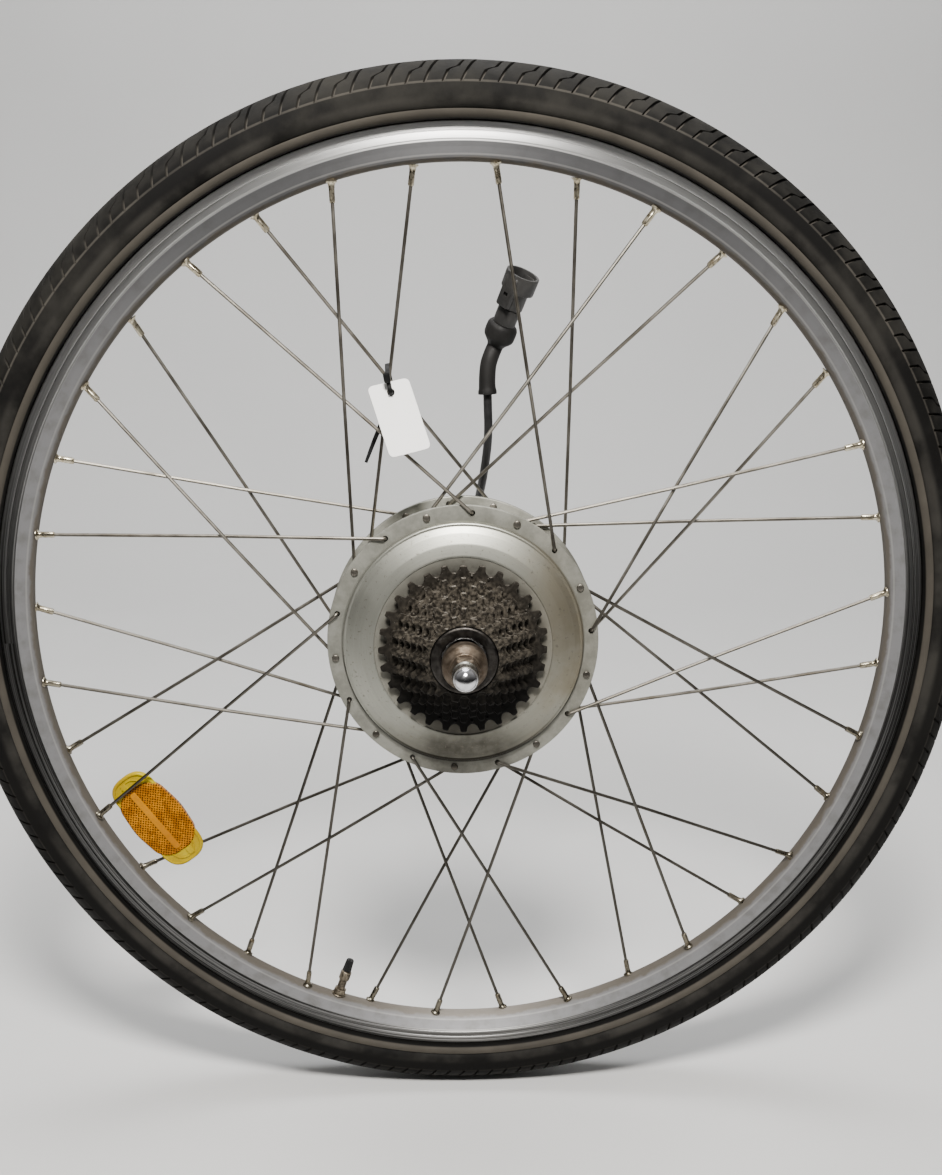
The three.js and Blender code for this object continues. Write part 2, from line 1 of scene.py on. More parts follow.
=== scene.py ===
"""Looks for the hub motor wheel: a spoked wheel with a geared motor in its hub, sprockets and a motor cable.

Shapes are made in millimetres and degrees, and make_mesh() turns them into metres.
The wheel turns about Y, its drive side with the sprockets faces -Y, and Z is up.
"""

import random
from math import acos, atan2, copysign, cos, pi, radians, sin, sqrt

import bmesh
import bpy
from mathutils import Matrix, Vector


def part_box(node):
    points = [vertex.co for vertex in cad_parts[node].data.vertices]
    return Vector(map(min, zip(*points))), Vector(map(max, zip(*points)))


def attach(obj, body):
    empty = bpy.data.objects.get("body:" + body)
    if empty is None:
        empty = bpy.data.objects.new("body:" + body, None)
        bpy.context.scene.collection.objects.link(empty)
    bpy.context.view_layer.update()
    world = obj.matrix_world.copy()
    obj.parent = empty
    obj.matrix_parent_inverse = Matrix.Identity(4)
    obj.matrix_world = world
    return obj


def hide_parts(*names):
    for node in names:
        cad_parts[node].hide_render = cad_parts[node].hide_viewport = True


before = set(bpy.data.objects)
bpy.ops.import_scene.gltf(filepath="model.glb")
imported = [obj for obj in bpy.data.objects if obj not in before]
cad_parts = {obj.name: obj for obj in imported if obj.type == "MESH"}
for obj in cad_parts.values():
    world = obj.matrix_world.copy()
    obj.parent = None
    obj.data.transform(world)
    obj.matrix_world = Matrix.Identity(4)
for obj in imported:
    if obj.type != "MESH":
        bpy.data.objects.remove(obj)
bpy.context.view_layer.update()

MM = 0.001
AXLE = "axle_assembly"
WHEEL = "wheel"
FREEWHEEL = "freewheel"

# ---- sizes that more than one part uses ----
TYRE_R = 353.2
RIM_R = 320.2
RIM_HALF_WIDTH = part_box("rim")[1].y / MM
WHEEL_PHASE = 85.85  # degrees from +X to the first hole of the drive-side flange
FLANGE_R = 94
FLANGE_OUT_Y = 21.5
FLANGE_IN_Y = 18
HOLE_CIRCLE_R = 89
HOLES_PER_FLANGE = 18
REFLECTOR_TURN = 54  # degrees its long side leans down from +X
REFLECTOR_CELL = 1.3  # from one dark spot to the next pale one


# ---- camera ----
CAMERA_PLACE = (-0.01755, -1.04398, 0.25415)  # metres
CAMERA_DOWN = 25.067  # degrees below the horizon
CAMERA_YAW = -1.289
LENS = 45.71
SHIFT_Y = 0.2978


def add_object(name, data):
    obj = bpy.data.objects.new(name, data)
    bpy.context.scene.collection.objects.link(obj)
    return obj


def make_camera():
    data = bpy.data.cameras.new("camera")
    data.sensor_width = 36
    data.lens = LENS
    data.shift_y = SHIFT_Y
    camera = add_object("camera", data)
    camera.location = CAMERA_PLACE
    camera.rotation_euler = (radians(90 - CAMERA_DOWN), 0, radians(CAMERA_YAW))
    bpy.context.scene.camera = camera


make_camera()


# ---- looks ----
class Nodes:
    """Short ways to make and join nodes. A value is a number, a colour or another node's output."""

    def __init__(self, tree):
        self.tree = tree

    def make(self, kind, inputs=None, **settings):
        node = self.tree.nodes.new("ShaderNode" + kind)
        for key, value in settings.items():
            setattr(node, key, value)
        for key, value in (inputs or {}).items():
            self.feed(node.inputs[key], value)
        return node

    def feed(self, socket, value):
        if isinstance(value, bpy.types.NodeSocket):
            self.tree.links.new(value, socket)
        elif isinstance(value, tuple) and len(value) == 3 and socket.type == "RGBA":
            socket.default_value = (*value, 1)
        else:
            socket.default_value = value

    def maths(self, operation, a, b=0.0):
        return self.make("Math", {0: a, 1: b}, operation=operation).outputs[0]

    def times(self, a, b):
        return self.maths("MULTIPLY", a, b)

    def band(self, value, low, high, first=0.0, last=1.0):
        """Goes smoothly from first to last as value goes from low to high."""
        inputs = {"Value": value, "From Min": low, "From Max": high, "To Min": first, "To Max": last}
        node = self.make("MapRange", inputs, interpolation_type="SMOOTHSTEP")
        return node.outputs["Result"]


class Look(Nodes):
    """A material whose patterns are laid out in the piece's own frame, in metres."""

    def __init__(self, name, colour, roughness, metallic=0.0, **fixed):
        self.material = bpy.data.materials.new(name)
        self.material.use_nodes = True
        super().__init__(self.material.node_tree)
        self.shader = self.tree.nodes["Principled BSDF"]
        self.place = self.make("TexCoord").outputs["Object"]
        self.shader.inputs["Base Color"].default_value = (*colour, 1)
        self.shader.inputs["Roughness"].default_value = roughness
        self.shader.inputs["Metallic"].default_value = metallic
        for socket, value in fixed.items():
            self.shader.inputs[socket.replace("_", " ")].default_value = value

    def set(self, **sockets):
        for key, value in sockets.items():
            self.feed(self.shader.inputs[key.replace("_", " ")], value)

    def tones(self, share, first, second):
        """Colours the piece from first, where share is 0, to second, where it is 1."""
        self.colour = self.mix(share, first, second)
        self.set(Base_Color=self.colour)

    def paint(self, mask, colour, strength=None):
        """Lays a colour over what is there, where mask is 1."""
        self.tones(mask if strength is None else self.times(mask, strength), self.colour, colour)

    def stretched(self, x, y, z):
        node = self.make("Mapping", {"Vector": self.place, "Scale": (x, y, z)})
        return node.outputs[0]

    def noise(self, scale, detail=4.0, rough=0.55, place=None):
        inputs = {"Vector": place or self.place, "Scale": scale, "Detail": detail, "Roughness": rough}
        return self.make("TexNoise", inputs).outputs["Fac"]

    def mix(self, factor, a, b):
        node = self.make("Mix", data_type="RGBA")
        self.feed(node.inputs["Factor"], factor)
        self.feed(node.inputs[6], a)
        self.feed(node.inputs[7], b)
        return node.outputs[2]

    def split(self):
        """The X, Y and Z of the place, in metres."""
        return self.make("SeparateXYZ", {0: self.place}).outputs

    def radius(self):
        """Distance from the wheel's axis, in millimetres."""
        x, _, z = self.split()
        squares = self.maths("ADD", self.times(x, x), self.times(z, z))
        return self.times(self.maths("SQRT", squares), 1 / MM)

    def round_place(self, across, along):
        """A place for patterns that run round the axle: across in radius and width, along in turns."""
        x, y, z = self.split()
        angle = self.maths("ARCTAN2", z, x)
        inputs = {0: self.times(self.radius(), across), 1: self.times(angle, along),
                  2: self.times(y, across / MM)}
        return self.make("CombineXYZ", inputs).outputs[0]

    def between(self, value, low, high, edge):
        """1 inside low..high and 0 outside, with soft edges."""
        up = self.band(value, low - edge, low + edge)
        down = self.band(value, high - edge, high + edge, 1.0, 0.0)
        return self.times(up, down)

    def bump(self, height, depth, strength=1.0, under=None):
        """Adds relief. depth is in millimetres."""
        inputs = {"Height": height, "Distance": depth * MM, "Strength": strength}
        if under:
            inputs["Normal"] = under
        normal = self.make("Bump", inputs).outputs[0]
        self.feed(self.shader.inputs["Normal"], normal)
        return normal


def rubber_look():
    """Black rubber with grooves painted dark as painted shade, a pale tread edge and a stained rib, and dust
    patches painted lighter high on the wheel as painted light.
    """
    look = Look("tyre_rubber_look", (0.03, 0.029, 0.028), 0.8, Specular_IOR_Level=0.1)
    r = look.radius()
    z = look.split()[2]
    patches = look.noise(18, 6, 0.6)
    # Dust patches, painted lighter high on the wheel: the height fade is painted light.
    painted_light_and_patches = look.times(look.band(patches, 0.42, 0.7), look.band(z, -0.15, 0.36, 0.1, 1))
    look.tones(painted_light_and_patches, (0.004, 0.0038, 0.0035), (0.022, 0.0208, 0.018))
    scuffed = look.times(look.between(r, 325.5, 332.5, 2), look.band(look.noise(30, 5), 0.3, 0.65))
    look.paint(scuffed, (0.04, 0.0375, 0.033), 0.6)
    tread = look.times(look.band(r, 341, 345), look.band(look.noise(60, 5), 0.35, 0.65, 0.1, 0.5))
    look.paint(tread, (0.02, 0.0188, 0.0165))
    groove = look.make("Attribute", attribute_name="groove").outputs["Fac"]
    # The grooves are painted darker: painted shade in the recesses.
    look.paint(groove, (0.003, 0.0028, 0.0026))
    near_edge = look.times(groove, look.band(r, 343, 347, 1, 0))
    edge = look.times(look.between(r, 339.7, 340.9, 0.25), look.band(patches, 0.3, 0.6, 0.3, 1))
    pale = look.maths("MAXIMUM", look.times(near_edge, 0.6), look.times(edge, 0.55))
    # The pale edges fade towards the bottom of the wheel: painted shade.
    look.paint(look.times(pale, look.band(z, -0.1, 0.2, 0.25, 1)), (0.08, 0.073, 0.062))
    stained = look.mix(look.noise(35, 5), (0.03, 0.027, 0.0225), (0.075, 0.067, 0.055))
    look.paint(look.make("Attribute", attribute_name="rib").outputs["Fac"], stained)
    look.set(Roughness=look.band(patches, 0.3, 0.75, 0.6, 0.85))
    look.bump(look.noise(900, 3), 0.12, 0.5)
    return look.material


def rim_look():
    """Brushed braking tracks, painted dark as painted shade except near the top, and duller stained faces
    inside them that are painted darker near the top as painted shade.
    """
    look = Look("rim_look", (0.6, 0.6, 0.6), 0.42, 1.0, Anisotropic=0.95, Anisotropic_Rotation=0.25)
    r = look.radius()
    z = look.split()[2]
    brushed = look.noise(1.0, 6, 0.7, look.round_place(9, 2.5))
    streaks = look.noise(1.0, 5, 0.6, look.round_place(2.2, 9))
    lines = look.noise(1.0, 3, 0.6, look.round_place(1.1, 0.8))
    stains = look.noise(90, 6, 0.6)
    look.tones(brushed, (0.52, 0.52, 0.515), (0.78, 0.78, 0.77))
    look.paint(look.band(streaks, 0.52, 0.8, 0, 0.5), (0.22, 0.215, 0.22))
    # Painted shade: the tracks darken below the top of the wheel, in streaks.
    painted_light_and_patches = look.times(look.band(z, 0.0, 0.28, 1, 0), look.band(lines, 0.4, 0.62, 1, 0.6))
    look.paint(painted_light_and_patches, (0.045, 0.044, 0.042))
    inside = look.band(r, 308.8, 309.6, 1, 0)
    dull = look.mix(look.band(stains, 0.4, 0.75, 0, 0.6), (0.21, 0.21, 0.215), (0.12, 0.117, 0.108))
    # The stained faces inside are painted darker near the top of the wheel: painted shade.
    look.paint(inside, look.mix(look.band(z, 0.12, 0.3, 0, 0.75), dull, (0.06, 0.06, 0.063)))
    nose = look.band(look.maths("ADD", r, look.band(stains, 0.2, 0.8, -1.2, 1.2)), 299.0, 301.5, 1, 0)
    look.paint(nose, (0.1, 0.085, 0.065), 0.85)
    look.paint(look.between(r, 301.6, 302.6, 0.25), (0.36, 0.355, 0.34), 0.4)
    rough = look.band(brushed, 0.3, 0.7, 0.38, 0.5)
    look.set(Roughness=look.maths("ADD", rough, look.times(inside, 0.1)))
    look.set(Metallic=look.band(inside, 0, 1, 1.0, 0.35))
    look.set(Tangent=look.make("Tangent", direction_type="RADIAL", axis="Y").outputs[0])
    look.bump(brushed, 0.03, 0.35)
    return look.material


def hub_look():
    """Turned aluminium, matt in the middle, with grease by the sprockets, painted shade low down and a
    painted shadow in the seam.
    """
    look = Look("hub_look", (0.6, 0.59, 0.55), 0.42, 0.75)
    r = look.radius()
    x, y, z = look.split()
    broad = look.noise(14, 5, 0.6)
    fine = look.noise(70, 6, 0.65)
    turned_marks = look.noise(1.0, 4, 0.6, look.round_place(3.5, 1.2))
    look.tones(turned_marks, (0.3, 0.302, 0.262), (0.44, 0.442, 0.392))
    brown = look.times(look.band(x, 0.0, 0.08), look.band(broad, 0.35, 0.65, 0.1, 0.8))
    look.paint(brown, (0.2, 0.168, 0.108))
    face = look.between(r, 10, 61.4, 0.5)
    look.paint(face, (0.2, 0.19, 0.158), 0.75)
    greasy = look.times(look.band(r, 50, 61, 1, 0), look.band(fine, 0.35, 0.65, 0.25, 1))
    look.paint(look.times(greasy, look.band(y, -0.02, 0.01, 1, 0.15)), (0.035, 0.03, 0.024))
    # Painted shade: darker low on the hub.
    low = look.band(look.maths("ADD", z, look.band(broad, 0.3, 0.7, -0.012, 0.012)), -0.095, -0.025, 1, 0)
    look.paint(low, (0.085, 0.078, 0.06), 0.8)
    # A grease smear low in the middle that is also painted shade under the hub; it darkens the flange's lower
    # part too.
    smear_and_shade = look.times(look.between(x, -0.03, 0.035, 0.02), look.band(z, -0.045, -0.07))
    smear_and_shade = look.times(smear_and_shade, look.band(look.noise(32, 5, 0.6), 0.35, 0.65, 0.3, 0.9))
    look.paint(smear_and_shade, (0.03, 0.027, 0.021))
    look.paint(look.band(look.noise(420, 4, 0.6), 0.6, 0.7), (0.14, 0.125, 0.1), 0.6)
    flange = look.band(r, 83.4, 84)
    mottled = look.mix(look.band(fine, 0.35, 0.65), (0.2, 0.198, 0.17), (0.31, 0.308, 0.27))
    look.paint(flange, look.mix(look.times(smear_and_shade, 0.9), mottled, (0.03, 0.027, 0.021)), 0.85)
    # Painted shadow in the seam by the cover's edge, stronger low down.
    seam = look.times(look.between(r, 82.9, 84.3, 0.35), look.band(fine, 0.3, 0.6, 0.35, 0.95))
    seam = look.times(seam, look.band(z, -0.05, 0.07, 1, 0.12))
    # Painted shade round the cover's edge, low on the hub.
    low_edge_shade = look.times(look.between(r, 81.2, 85, 0.5), look.band(z, -0.08, -0.045, 0.9, 0))
    look.paint(look.maths("MAXIMUM", seam, low_edge_shade), (0.02, 0.018, 0.014))
    matte = look.maths("MAXIMUM", face, flange)
    look.set(Roughness=look.maths("ADD", look.band(broad, 0.3, 0.7, 0.4, 0.5), look.times(matte, 0.1)))
    look.set(Metallic=look.band(matte, 0, 1, 0.92, 0.7))
    look.bump(turned_marks, 0.03, 0.25, look.bump(look.noise(1400, 2), 0.04, 0.5))
    return look.material


def metal_look(name, dark, bright, roughness, scale=60, grime=(0.08, 0.065, 0.05), grime_share=0.25,
               relief=0.04, metallic=1.0, dull=1.0):
    """Worn metal: two tones, patches of grime that are rougher, and a fine grain.

    dull is the share of its brightness that is left low on the wheel, as painted shade.
    """
    look = Look(name, bright, roughness, metallic)
    tone = look.noise(scale, 5, 0.6)
    patches = look.band(look.noise(scale * 0.6, 6, 0.65), 0.62 - grime_share * 0.3, 0.8 - grime_share * 0.3)
    look.tones(look.band(tone, 0.3, 0.7), dark, bright)
    # Painted shade: darker low on the wheel.
    look.paint(look.band(look.split()[2], -0.12, 0.16, 1 - dull, 0), (0.02, 0.018, 0.015))
    look.paint(patches, grime, 0.8)
    rough = look.band(tone, 0.25, 0.75, roughness - 0.06, roughness + 0.08)
    look.set(Roughness=look.maths("ADD", rough, look.times(patches, 0.25)))
    look.bump(look.noise(scale * 14, 3), relief, 0.5)
    return look.material


def greasy_look():
    """Blackened steel under old grease that has dried brown-grey; the upper part is painted lighter, with
    painted glints, and the lower part blacker, as painted light and shade.
    """
    look = Look("sprocket_look", (0.02, 0.017, 0.014), 0.4, 0.5, Specular_IOR_Level=0.2)
    lumps = look.noise(420, 5, 0.6)
    # high brightens the upper part as painted light: it lightens the black, lets the grease lumps show and
    # carries the painted glints.
    high = look.band(look.split()[2], -0.045, 0.03, 0.03, 1)
    inside = look.band(look.radius(), 44, 53, 1, 0.15)
    black = look.mix(high, (0.003, 0.0028, 0.0026), (0.024, 0.021, 0.017))
    brown = look.mix(look.noise(60, 4, 0.6), (0.06, 0.051, 0.039), (0.15, 0.13, 0.1))
    grime = look.times(look.band(lumps, 0.36, 0.68), look.times(high, inside))
    look.tones(look.times(grime, 0.8), black, brown)
    # Painted glints, only high up.
    bright = look.band(look.noise(800, 3, 0.5), 0.67, 0.72)
    look.paint(look.times(bright, look.times(high, 0.5)), (0.34, 0.32, 0.29))
    look.set(Roughness=look.band(lumps, 0.35, 0.65, 0.34, 0.6), Metallic=look.band(grime, 0, 1, 0.5, 0.1))
    look.bump(lumps, 0.25, 0.6)
    return look.material


def plastic_look(name, colour, lighter, roughness, scale=250, relief=0.06, **fixed):
    """Moulded plastic or rubber: a little uneven in tone, with a fine moulded grain."""
    look = Look(name, colour, roughness, **fixed)
    look.tones(look.band(look.noise(scale * 0.2, 5, 0.6), 0.35, 0.7), colour, lighter)
    look.set(Roughness=look.band(look.noise(scale, 4), 0.3, 0.7, roughness - 0.08, roughness + 0.1))
    look.bump(look.noise(scale * 6, 2), relief, 0.4)
    return look.material


def amber_look():
    """Amber plastic over staggered cells, which show as rows of dark spots along the reflector."""
    look = Look("amber_look", (0.35, 0.12, 0.0), 0.3, Specular_IOR_Level=0.12)
    turn = {"Vector": look.place, "Rotation": (0, radians(-REFLECTOR_TURN), 0)}
    along = look.make("Mapping", turn).outputs[0]
    x, _, z = look.make("SeparateXYZ", {0: along}).outputs
    waves = [look.maths("SINE", look.times(value, pi / (REFLECTOR_CELL * MM))) for value in (x, z)]
    look.tones(look.band(look.noise(160, 3), 0.35, 0.65), (0.27, 0.09, 0.0), (0.5, 0.19, 0.0))
    look.paint(look.band(look.times(*waves), -0.1, 0.5), (0.02, 0.005, 0.0), 0.95)
    return look.material


def card_look():
    """White card with faint fibres and a few soiled patches."""
    look = Look("tag_look", (0.86, 0.84, 0.79), 0.75)
    fibres = look.noise(1.0, 5, 0.6, look.stretched(900, 900, 250))
    look.tones(fibres, (0.94, 0.93, 0.905), (0.98, 0.975, 0.955))
    look.paint(look.band(look.noise(60, 4), 0.5, 0.8, 0, 0.25), (0.8, 0.77, 0.7))
    look.bump(fibres, 0.03, 0.5)
    return look.material


def paper_look():
    """Pale paper, dark nearer than the wheel so that it doesn't light the wheel from below."""
    look = Look("studio_paper_look", (0.6, 0.6, 0.59), 0.9)
    paper = look.mix(look.noise(3, 4), (0.58, 0.58, 0.575), (0.63, 0.63, 0.625))
    look.tones(look.band(look.split()[1], -1.0, -0.5), (0.05, 0.05, 0.05), paper)
    look.bump(look.noise(1.0, 4, 0.6, look.stretched(60, 60, 220)), 0.4, 0.25)
    return look.material


LOOKS = {
    "rubber": rubber_look(),
    "rim": rim_look(),
    "hub": hub_look(),
    "grease": greasy_look(),
    "card": card_look(),
    "amber": amber_look(),
    "paper": paper_look(),
    # dull darkens the spokes and nipples low on the wheel, as painted shade.
    "spoke": metal_look("spoke_look", (0.16, 0.145, 0.12), (0.28, 0.262, 0.228), 0.4, 40,
                        (0.09, 0.076, 0.055), 0.2, dull=0.35),
    "nipple": metal_look("nipple_look", (0.42, 0.36, 0.25), (0.74, 0.68, 0.53), 0.28, 300,
                         (0.11, 0.08, 0.045), 0.35, dull=0.25),
    "rust": metal_look("rust_look", (0.075, 0.055, 0.038), (0.15, 0.12, 0.09), 0.42, 220,
                       (0.065, 0.043, 0.028), 0.3, 0.12, 0.85),
    "chrome": metal_look("chrome_look", (0.62, 0.62, 0.64), (0.8, 0.8, 0.82), 0.14, 260,
                         (0.25, 0.23, 0.2), 0.0, 0.01),
    "zinc": metal_look("zinc_look", (0.36, 0.36, 0.37), (0.56, 0.56, 0.55), 0.38, 150,
                       (0.15, 0.13, 0.11), 0.3),
    "dark_steel": metal_look("dark_steel_look", (0.03, 0.027, 0.025), (0.075, 0.07, 0.065), 0.42, 200,
                             (0.02, 0.017, 0.013), 0.4, 0.1),
    "brass": metal_look("valve_look", (0.1, 0.085, 0.065), (0.32, 0.27, 0.2), 0.38, 300,
                        (0.06, 0.05, 0.04), 0.45),
    "jacket": plastic_look("cable_look", (0.009, 0.009, 0.0095), (0.017, 0.017, 0.0175), 0.4),
    "boot": plastic_look("boot_look", (0.005, 0.0047, 0.0044), (0.012, 0.0112, 0.0105), 0.62,
                         Specular_IOR_Level=0.3),
    "plug": plastic_look("plug_look", (0.016, 0.0155, 0.015), (0.03, 0.029, 0.0275), 0.45, 400),
    "cap": plastic_look("cap_look", (0.004, 0.004, 0.004), (0.01, 0.01, 0.01), 0.45,
                        Specular_IOR_Level=0.3),
    "tie": plastic_look("tie_look", (0.003, 0.003, 0.003), (0.007, 0.007, 0.007), 0.55,
                        Specular_IOR_Level=0.15),
    "clear_amber": plastic_look("clear_amber_look", (0.36, 0.13, 0.0), (0.5, 0.2, 0.0), 0.25, 120, 0.02,
                                Specular_IOR_Level=0.15),
    "yellow": plastic_look("yellow_look", (0.34, 0.22, 0.0), (0.56, 0.46, 0.0), 0.26, 120, 0.02,
                           Specular_IOR_Level=0.2),
}


# ---- shapes: each maker returns vertices and faces, in millimetres ----
SHARP = 32  # degrees between two faces from which their edge is drawn sharp


def skin(loops, closed=True):
    """Faces through loops of equally many points. The last loop joins the first, or both ends are capped."""
    count = len(loops[0])
    rows = len(loops)
    vertices = [point for loop in loops for point in loop]
    faces = []
    for i in range(rows if closed else rows - 1):
        a, b = i * count, (i + 1) % rows * count
        for j in range(count):
            k = (j + 1) % count
            faces.append((a + j, a + k, b + k, b + j))
    if not closed:
        faces.append(tuple(reversed(range(count))))
        faces.append(tuple(range((rows - 1) * count, rows * count)))
    return vertices, faces


def joined(*shapes):
    vertices, faces = [], []
    for more_vertices, more_faces in shapes:
        offset = len(vertices)
        vertices.extend(more_vertices)
        faces.extend(tuple(i + offset for i in face) for face in more_faces)
    return vertices, faces


def moved(shape, matrix):
    vertices, faces = shape
    return [tuple(matrix @ Vector(v)) for v in vertices], faces


def softened(outline, radius, steps=3, closed=True):
    """The outline with its corners rounded, by less where its sides are short."""
    points = []
    count = len(outline)
    for i, corner in enumerate(outline):
        corner = Vector(corner)
        if not closed and i in (0, count - 1):
            points.append(tuple(corner))
            continue
        before = Vector(outline[i - 1]) - corner
        after = Vector(outline[(i + 1) % count]) - corner
        cut = min(radius, 0.45 * before.length, 0.45 * after.length)
        start = corner + before.normalized() * cut
        end = corner + after.normalized() * cut
        for step in range(steps + 1):
            t = step / steps
            points.append(tuple((1 - t) ** 2 * start + 2 * t * (1 - t) * corner + t * t * end))
    return points


def plain(angle, r, y):
    """The factor of a round piece."""
    return 1.0


def turned(outline, steps=120, closed=True, factor=plain):
    """A ring about Y, or a solid if it isn't closed. The outline lists (radius, y). factor scales radii."""
    loops = []
    for r, y in outline:
        loop = []
        for i in range(steps):
            a = 2 * pi * i / steps
            here = r * factor(a, r, y)
            loop.append((here * cos(a), y, here * sin(a)))
        loops.append(loop)
    return skin(loops, closed)


def lathed(profile, corner, corner_steps, steps, factor=plain):
    """A solid about Y with rounded corners, whose profile starts and ends on its flat ends."""
    return turned(softened(profile, corner, corner_steps, closed=False), steps, False, factor)


def ring(profile, corner, corner_steps, steps=64, factor=plain):
    """A ring about Y with rounded corners, from its closed profile."""
    return turned(softened(profile, corner, corner_steps), steps, True, factor)


def lifted(shape, z):
    return moved(shape, Matrix.Translation((0, 0, z)))


def polar(r, y, degrees):
    a = radians(degrees)
    return Vector((r * cos(a), y, r * sin(a)))


def frames_along(path, start_up=None):
    """A pair of crosswise directions at each point, turned as little as possible from one to the next."""
    tangents = []
    for i in range(len(path)):
        a, b = path[max(i - 1, 0)], path[min(i + 1, len(path) - 1)]
        tangents.append((b - a).normalized())
    up = start_up or (Vector((0, 1, 0)) if abs(tangents[0].y) < 0.9 else Vector((1, 0, 0)))
    frames = []
    for tangent in tangents:
        up = (up - tangent * up.dot(tangent)).normalized()
        frames.append((up, tangent.cross(up)))
    return frames


def swept(path, section, up=None, scales=None):
    """A section of (across, up) points drawn along a path, with its ends capped."""
    loops = []
    for i, (point, (v, u)) in enumerate(zip(path, frames_along(path, up))):
        scale = scales[i] if scales else 1
        loops.append([tuple(point + u * (a * scale) + v * (b * scale)) for a, b in section])
    return skin(loops, closed=False)


def circle(radius, sides, phase=0.0):
    angles = [2 * pi * i / sides + phase for i in range(sides)]
    return [(radius * cos(a), radius * sin(a)) for a in angles]


def smooth_route(points, per_span=8):
    """A Catmull-Rom curve through the points."""
    points = [Vector(p) for p in points]
    ends = [2 * points[0] - points[1], *points, 2 * points[-1] - points[-2]]
    route = [points[0]]
    for i in range(1, len(ends) - 2):
        a, b, c, d = ends[i - 1:i + 3]
        for step in range(1, per_span + 1):
            t = step / per_span
            cubic = (3 * (b - c) + d - a) * t ** 3
            square = (2 * a - 5 * b + 4 * c - d) * t ** 2
            route.append(0.5 * (2 * b + (c - a) * t + square + cubic))
    return route


def placed_along(base, direction, shape):
    """Turns a shape made about Y so that its Y runs along direction from base."""
    turn = Vector((0, 1, 0)).rotation_difference(direction.normalized()).to_matrix().to_4x4()
    return moved(shape, Matrix.Translation(base) @ turn)


def rounded_box(width, depth, corner, steps=3):
    x, z = width / 2, depth / 2
    return softened([(-x, -z), (x, -z), (x, z), (-x, z)], corner, steps)


def shrunk(outline, centre, y, inset):
    """The outline at a height, with each point drawn in towards the centre."""
    points = []
    for x, z in outline:
        out = Vector((x, z)) - centre
        out = out * (1 - inset / out.length)
        points.append((centre.x + out.x, y, centre.y + out.y))
    return points


def slab(outline, low, high, edge=0.3, hole=None):
    """A plate with bevelled edges from low to high in Y. The outline lists (x, z). hole is (x, z, radius)."""
    centre = Vector((sum(x for x, _ in outline), sum(z for _, z in outline))) / len(outline)
    levels = [(low, edge), (low + edge, 0), (high - edge, 0), (high, edge)]
    loops = [shrunk(outline, centre, y, inset) for y, inset in levels]
    if not hole:
        return skin(loops, closed=False)
    hole_x, hole_z, hole_r = hole
    angles = [atan2(z - hole_z, x - hole_x) for x, z in outline]
    rings = [[(hole_x + hole_r * cos(a), y, hole_z + hole_r * sin(a)) for a in angles]
             for y in (high, low)]
    return skin([*loops, *rings], closed=True)


def make_mesh(name, shape):
    """A mesh in metres with its normals facing out."""
    vertices, faces = shape
    mesh = bpy.data.meshes.new(name)
    mesh.from_pydata([(x * MM, y * MM, z * MM) for x, y, z in vertices], [], faces)
    work = bmesh.new()
    work.from_mesh(mesh)
    bmesh.ops.recalc_face_normals(work, faces=work.faces)
    work.to_mesh(mesh)
    work.free()
    return mesh


def shade(mesh, sharp):
    """Smooth shading, broken where faces meet at more than sharp degrees."""
    mesh.shade_smooth()
    mesh.set_sharp_from_angle(angle=radians(sharp))


def piece(name, shape, look, body, replaces=(), sharp=SHARP):
    """Makes a finished piece that rides on a body and stands for CAD nodes."""
    mesh = make_mesh(name, shape)
    shade(mesh, sharp)
    mesh.materials.append(LOOKS[look])
    obj = add_object(name, mesh)
    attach(obj, body)
    if replaces:
        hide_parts(*replaces)
    return obj


def carve(obj, shape):
    """Cuts the closed shape out of a finished piece."""
    cutter = add_object("cutter", make_mesh("cutter", shape))
    cut = obj.modifiers.new("cut", "BOOLEAN")
    cut.operation = "DIFFERENCE"
    cut.solver = "EXACT"
    cut.object = cutter
    bpy.context.view_layer.update()
    evaluated = obj.evaluated_get(bpy.context.evaluated_depsgraph_get())
    carved = bpy.data.meshes.new_from_object(evaluated)
    obj.modifiers.clear()
    obj.data = carved
    shade(carved, SHARP)
    bpy.data.objects.remove(cutter)


# ---- motor cable, boot and connector ----
CABLE_R = 3
CABLE_ROUTE = [
    (0, 80, 0), (0, 97, 0), (0.3, 107, 2), (1, 116, 8), (2, 121, 17), (3.4, 121, 28), (5, 117, 39),
    (7, 110, 50), (8.8, 101, 60), (10.6, 91, 69), (12.4, 80, 79), (14.2, 71, 89), (16, 63.5, 100),
    (17.6, 57.5, 112), (18.8, 53.5, 124), (19.2, 51.2, 136), (18.8, 50.2, 147), (18.5, 50, 157),
]
BULGE = Vector((27.5, 50, 198))
CONNECTOR_TILT = 21.5  # degrees from upright, towards +X
CONNECTOR_NOD = 16  # degrees its mouth leans towards the drive side
LATCH_TURN = -36  # degrees round the connector's own axis
CONNECTOR_TURN = (Matrix.Rotation(radians(CONNECTOR_TILT), 4, "Y")
                  @ Matrix.Rotation(radians(90 + CONNECTOR_NOD), 4, "X"))


def along_connector(shape):
    """Places a shape made about Y on the connector's axis, with Y = 0 in the middle of the boot's bulge."""
    return moved(shape, Matrix.Translation(BULGE) @ CONNECTOR_TURN)


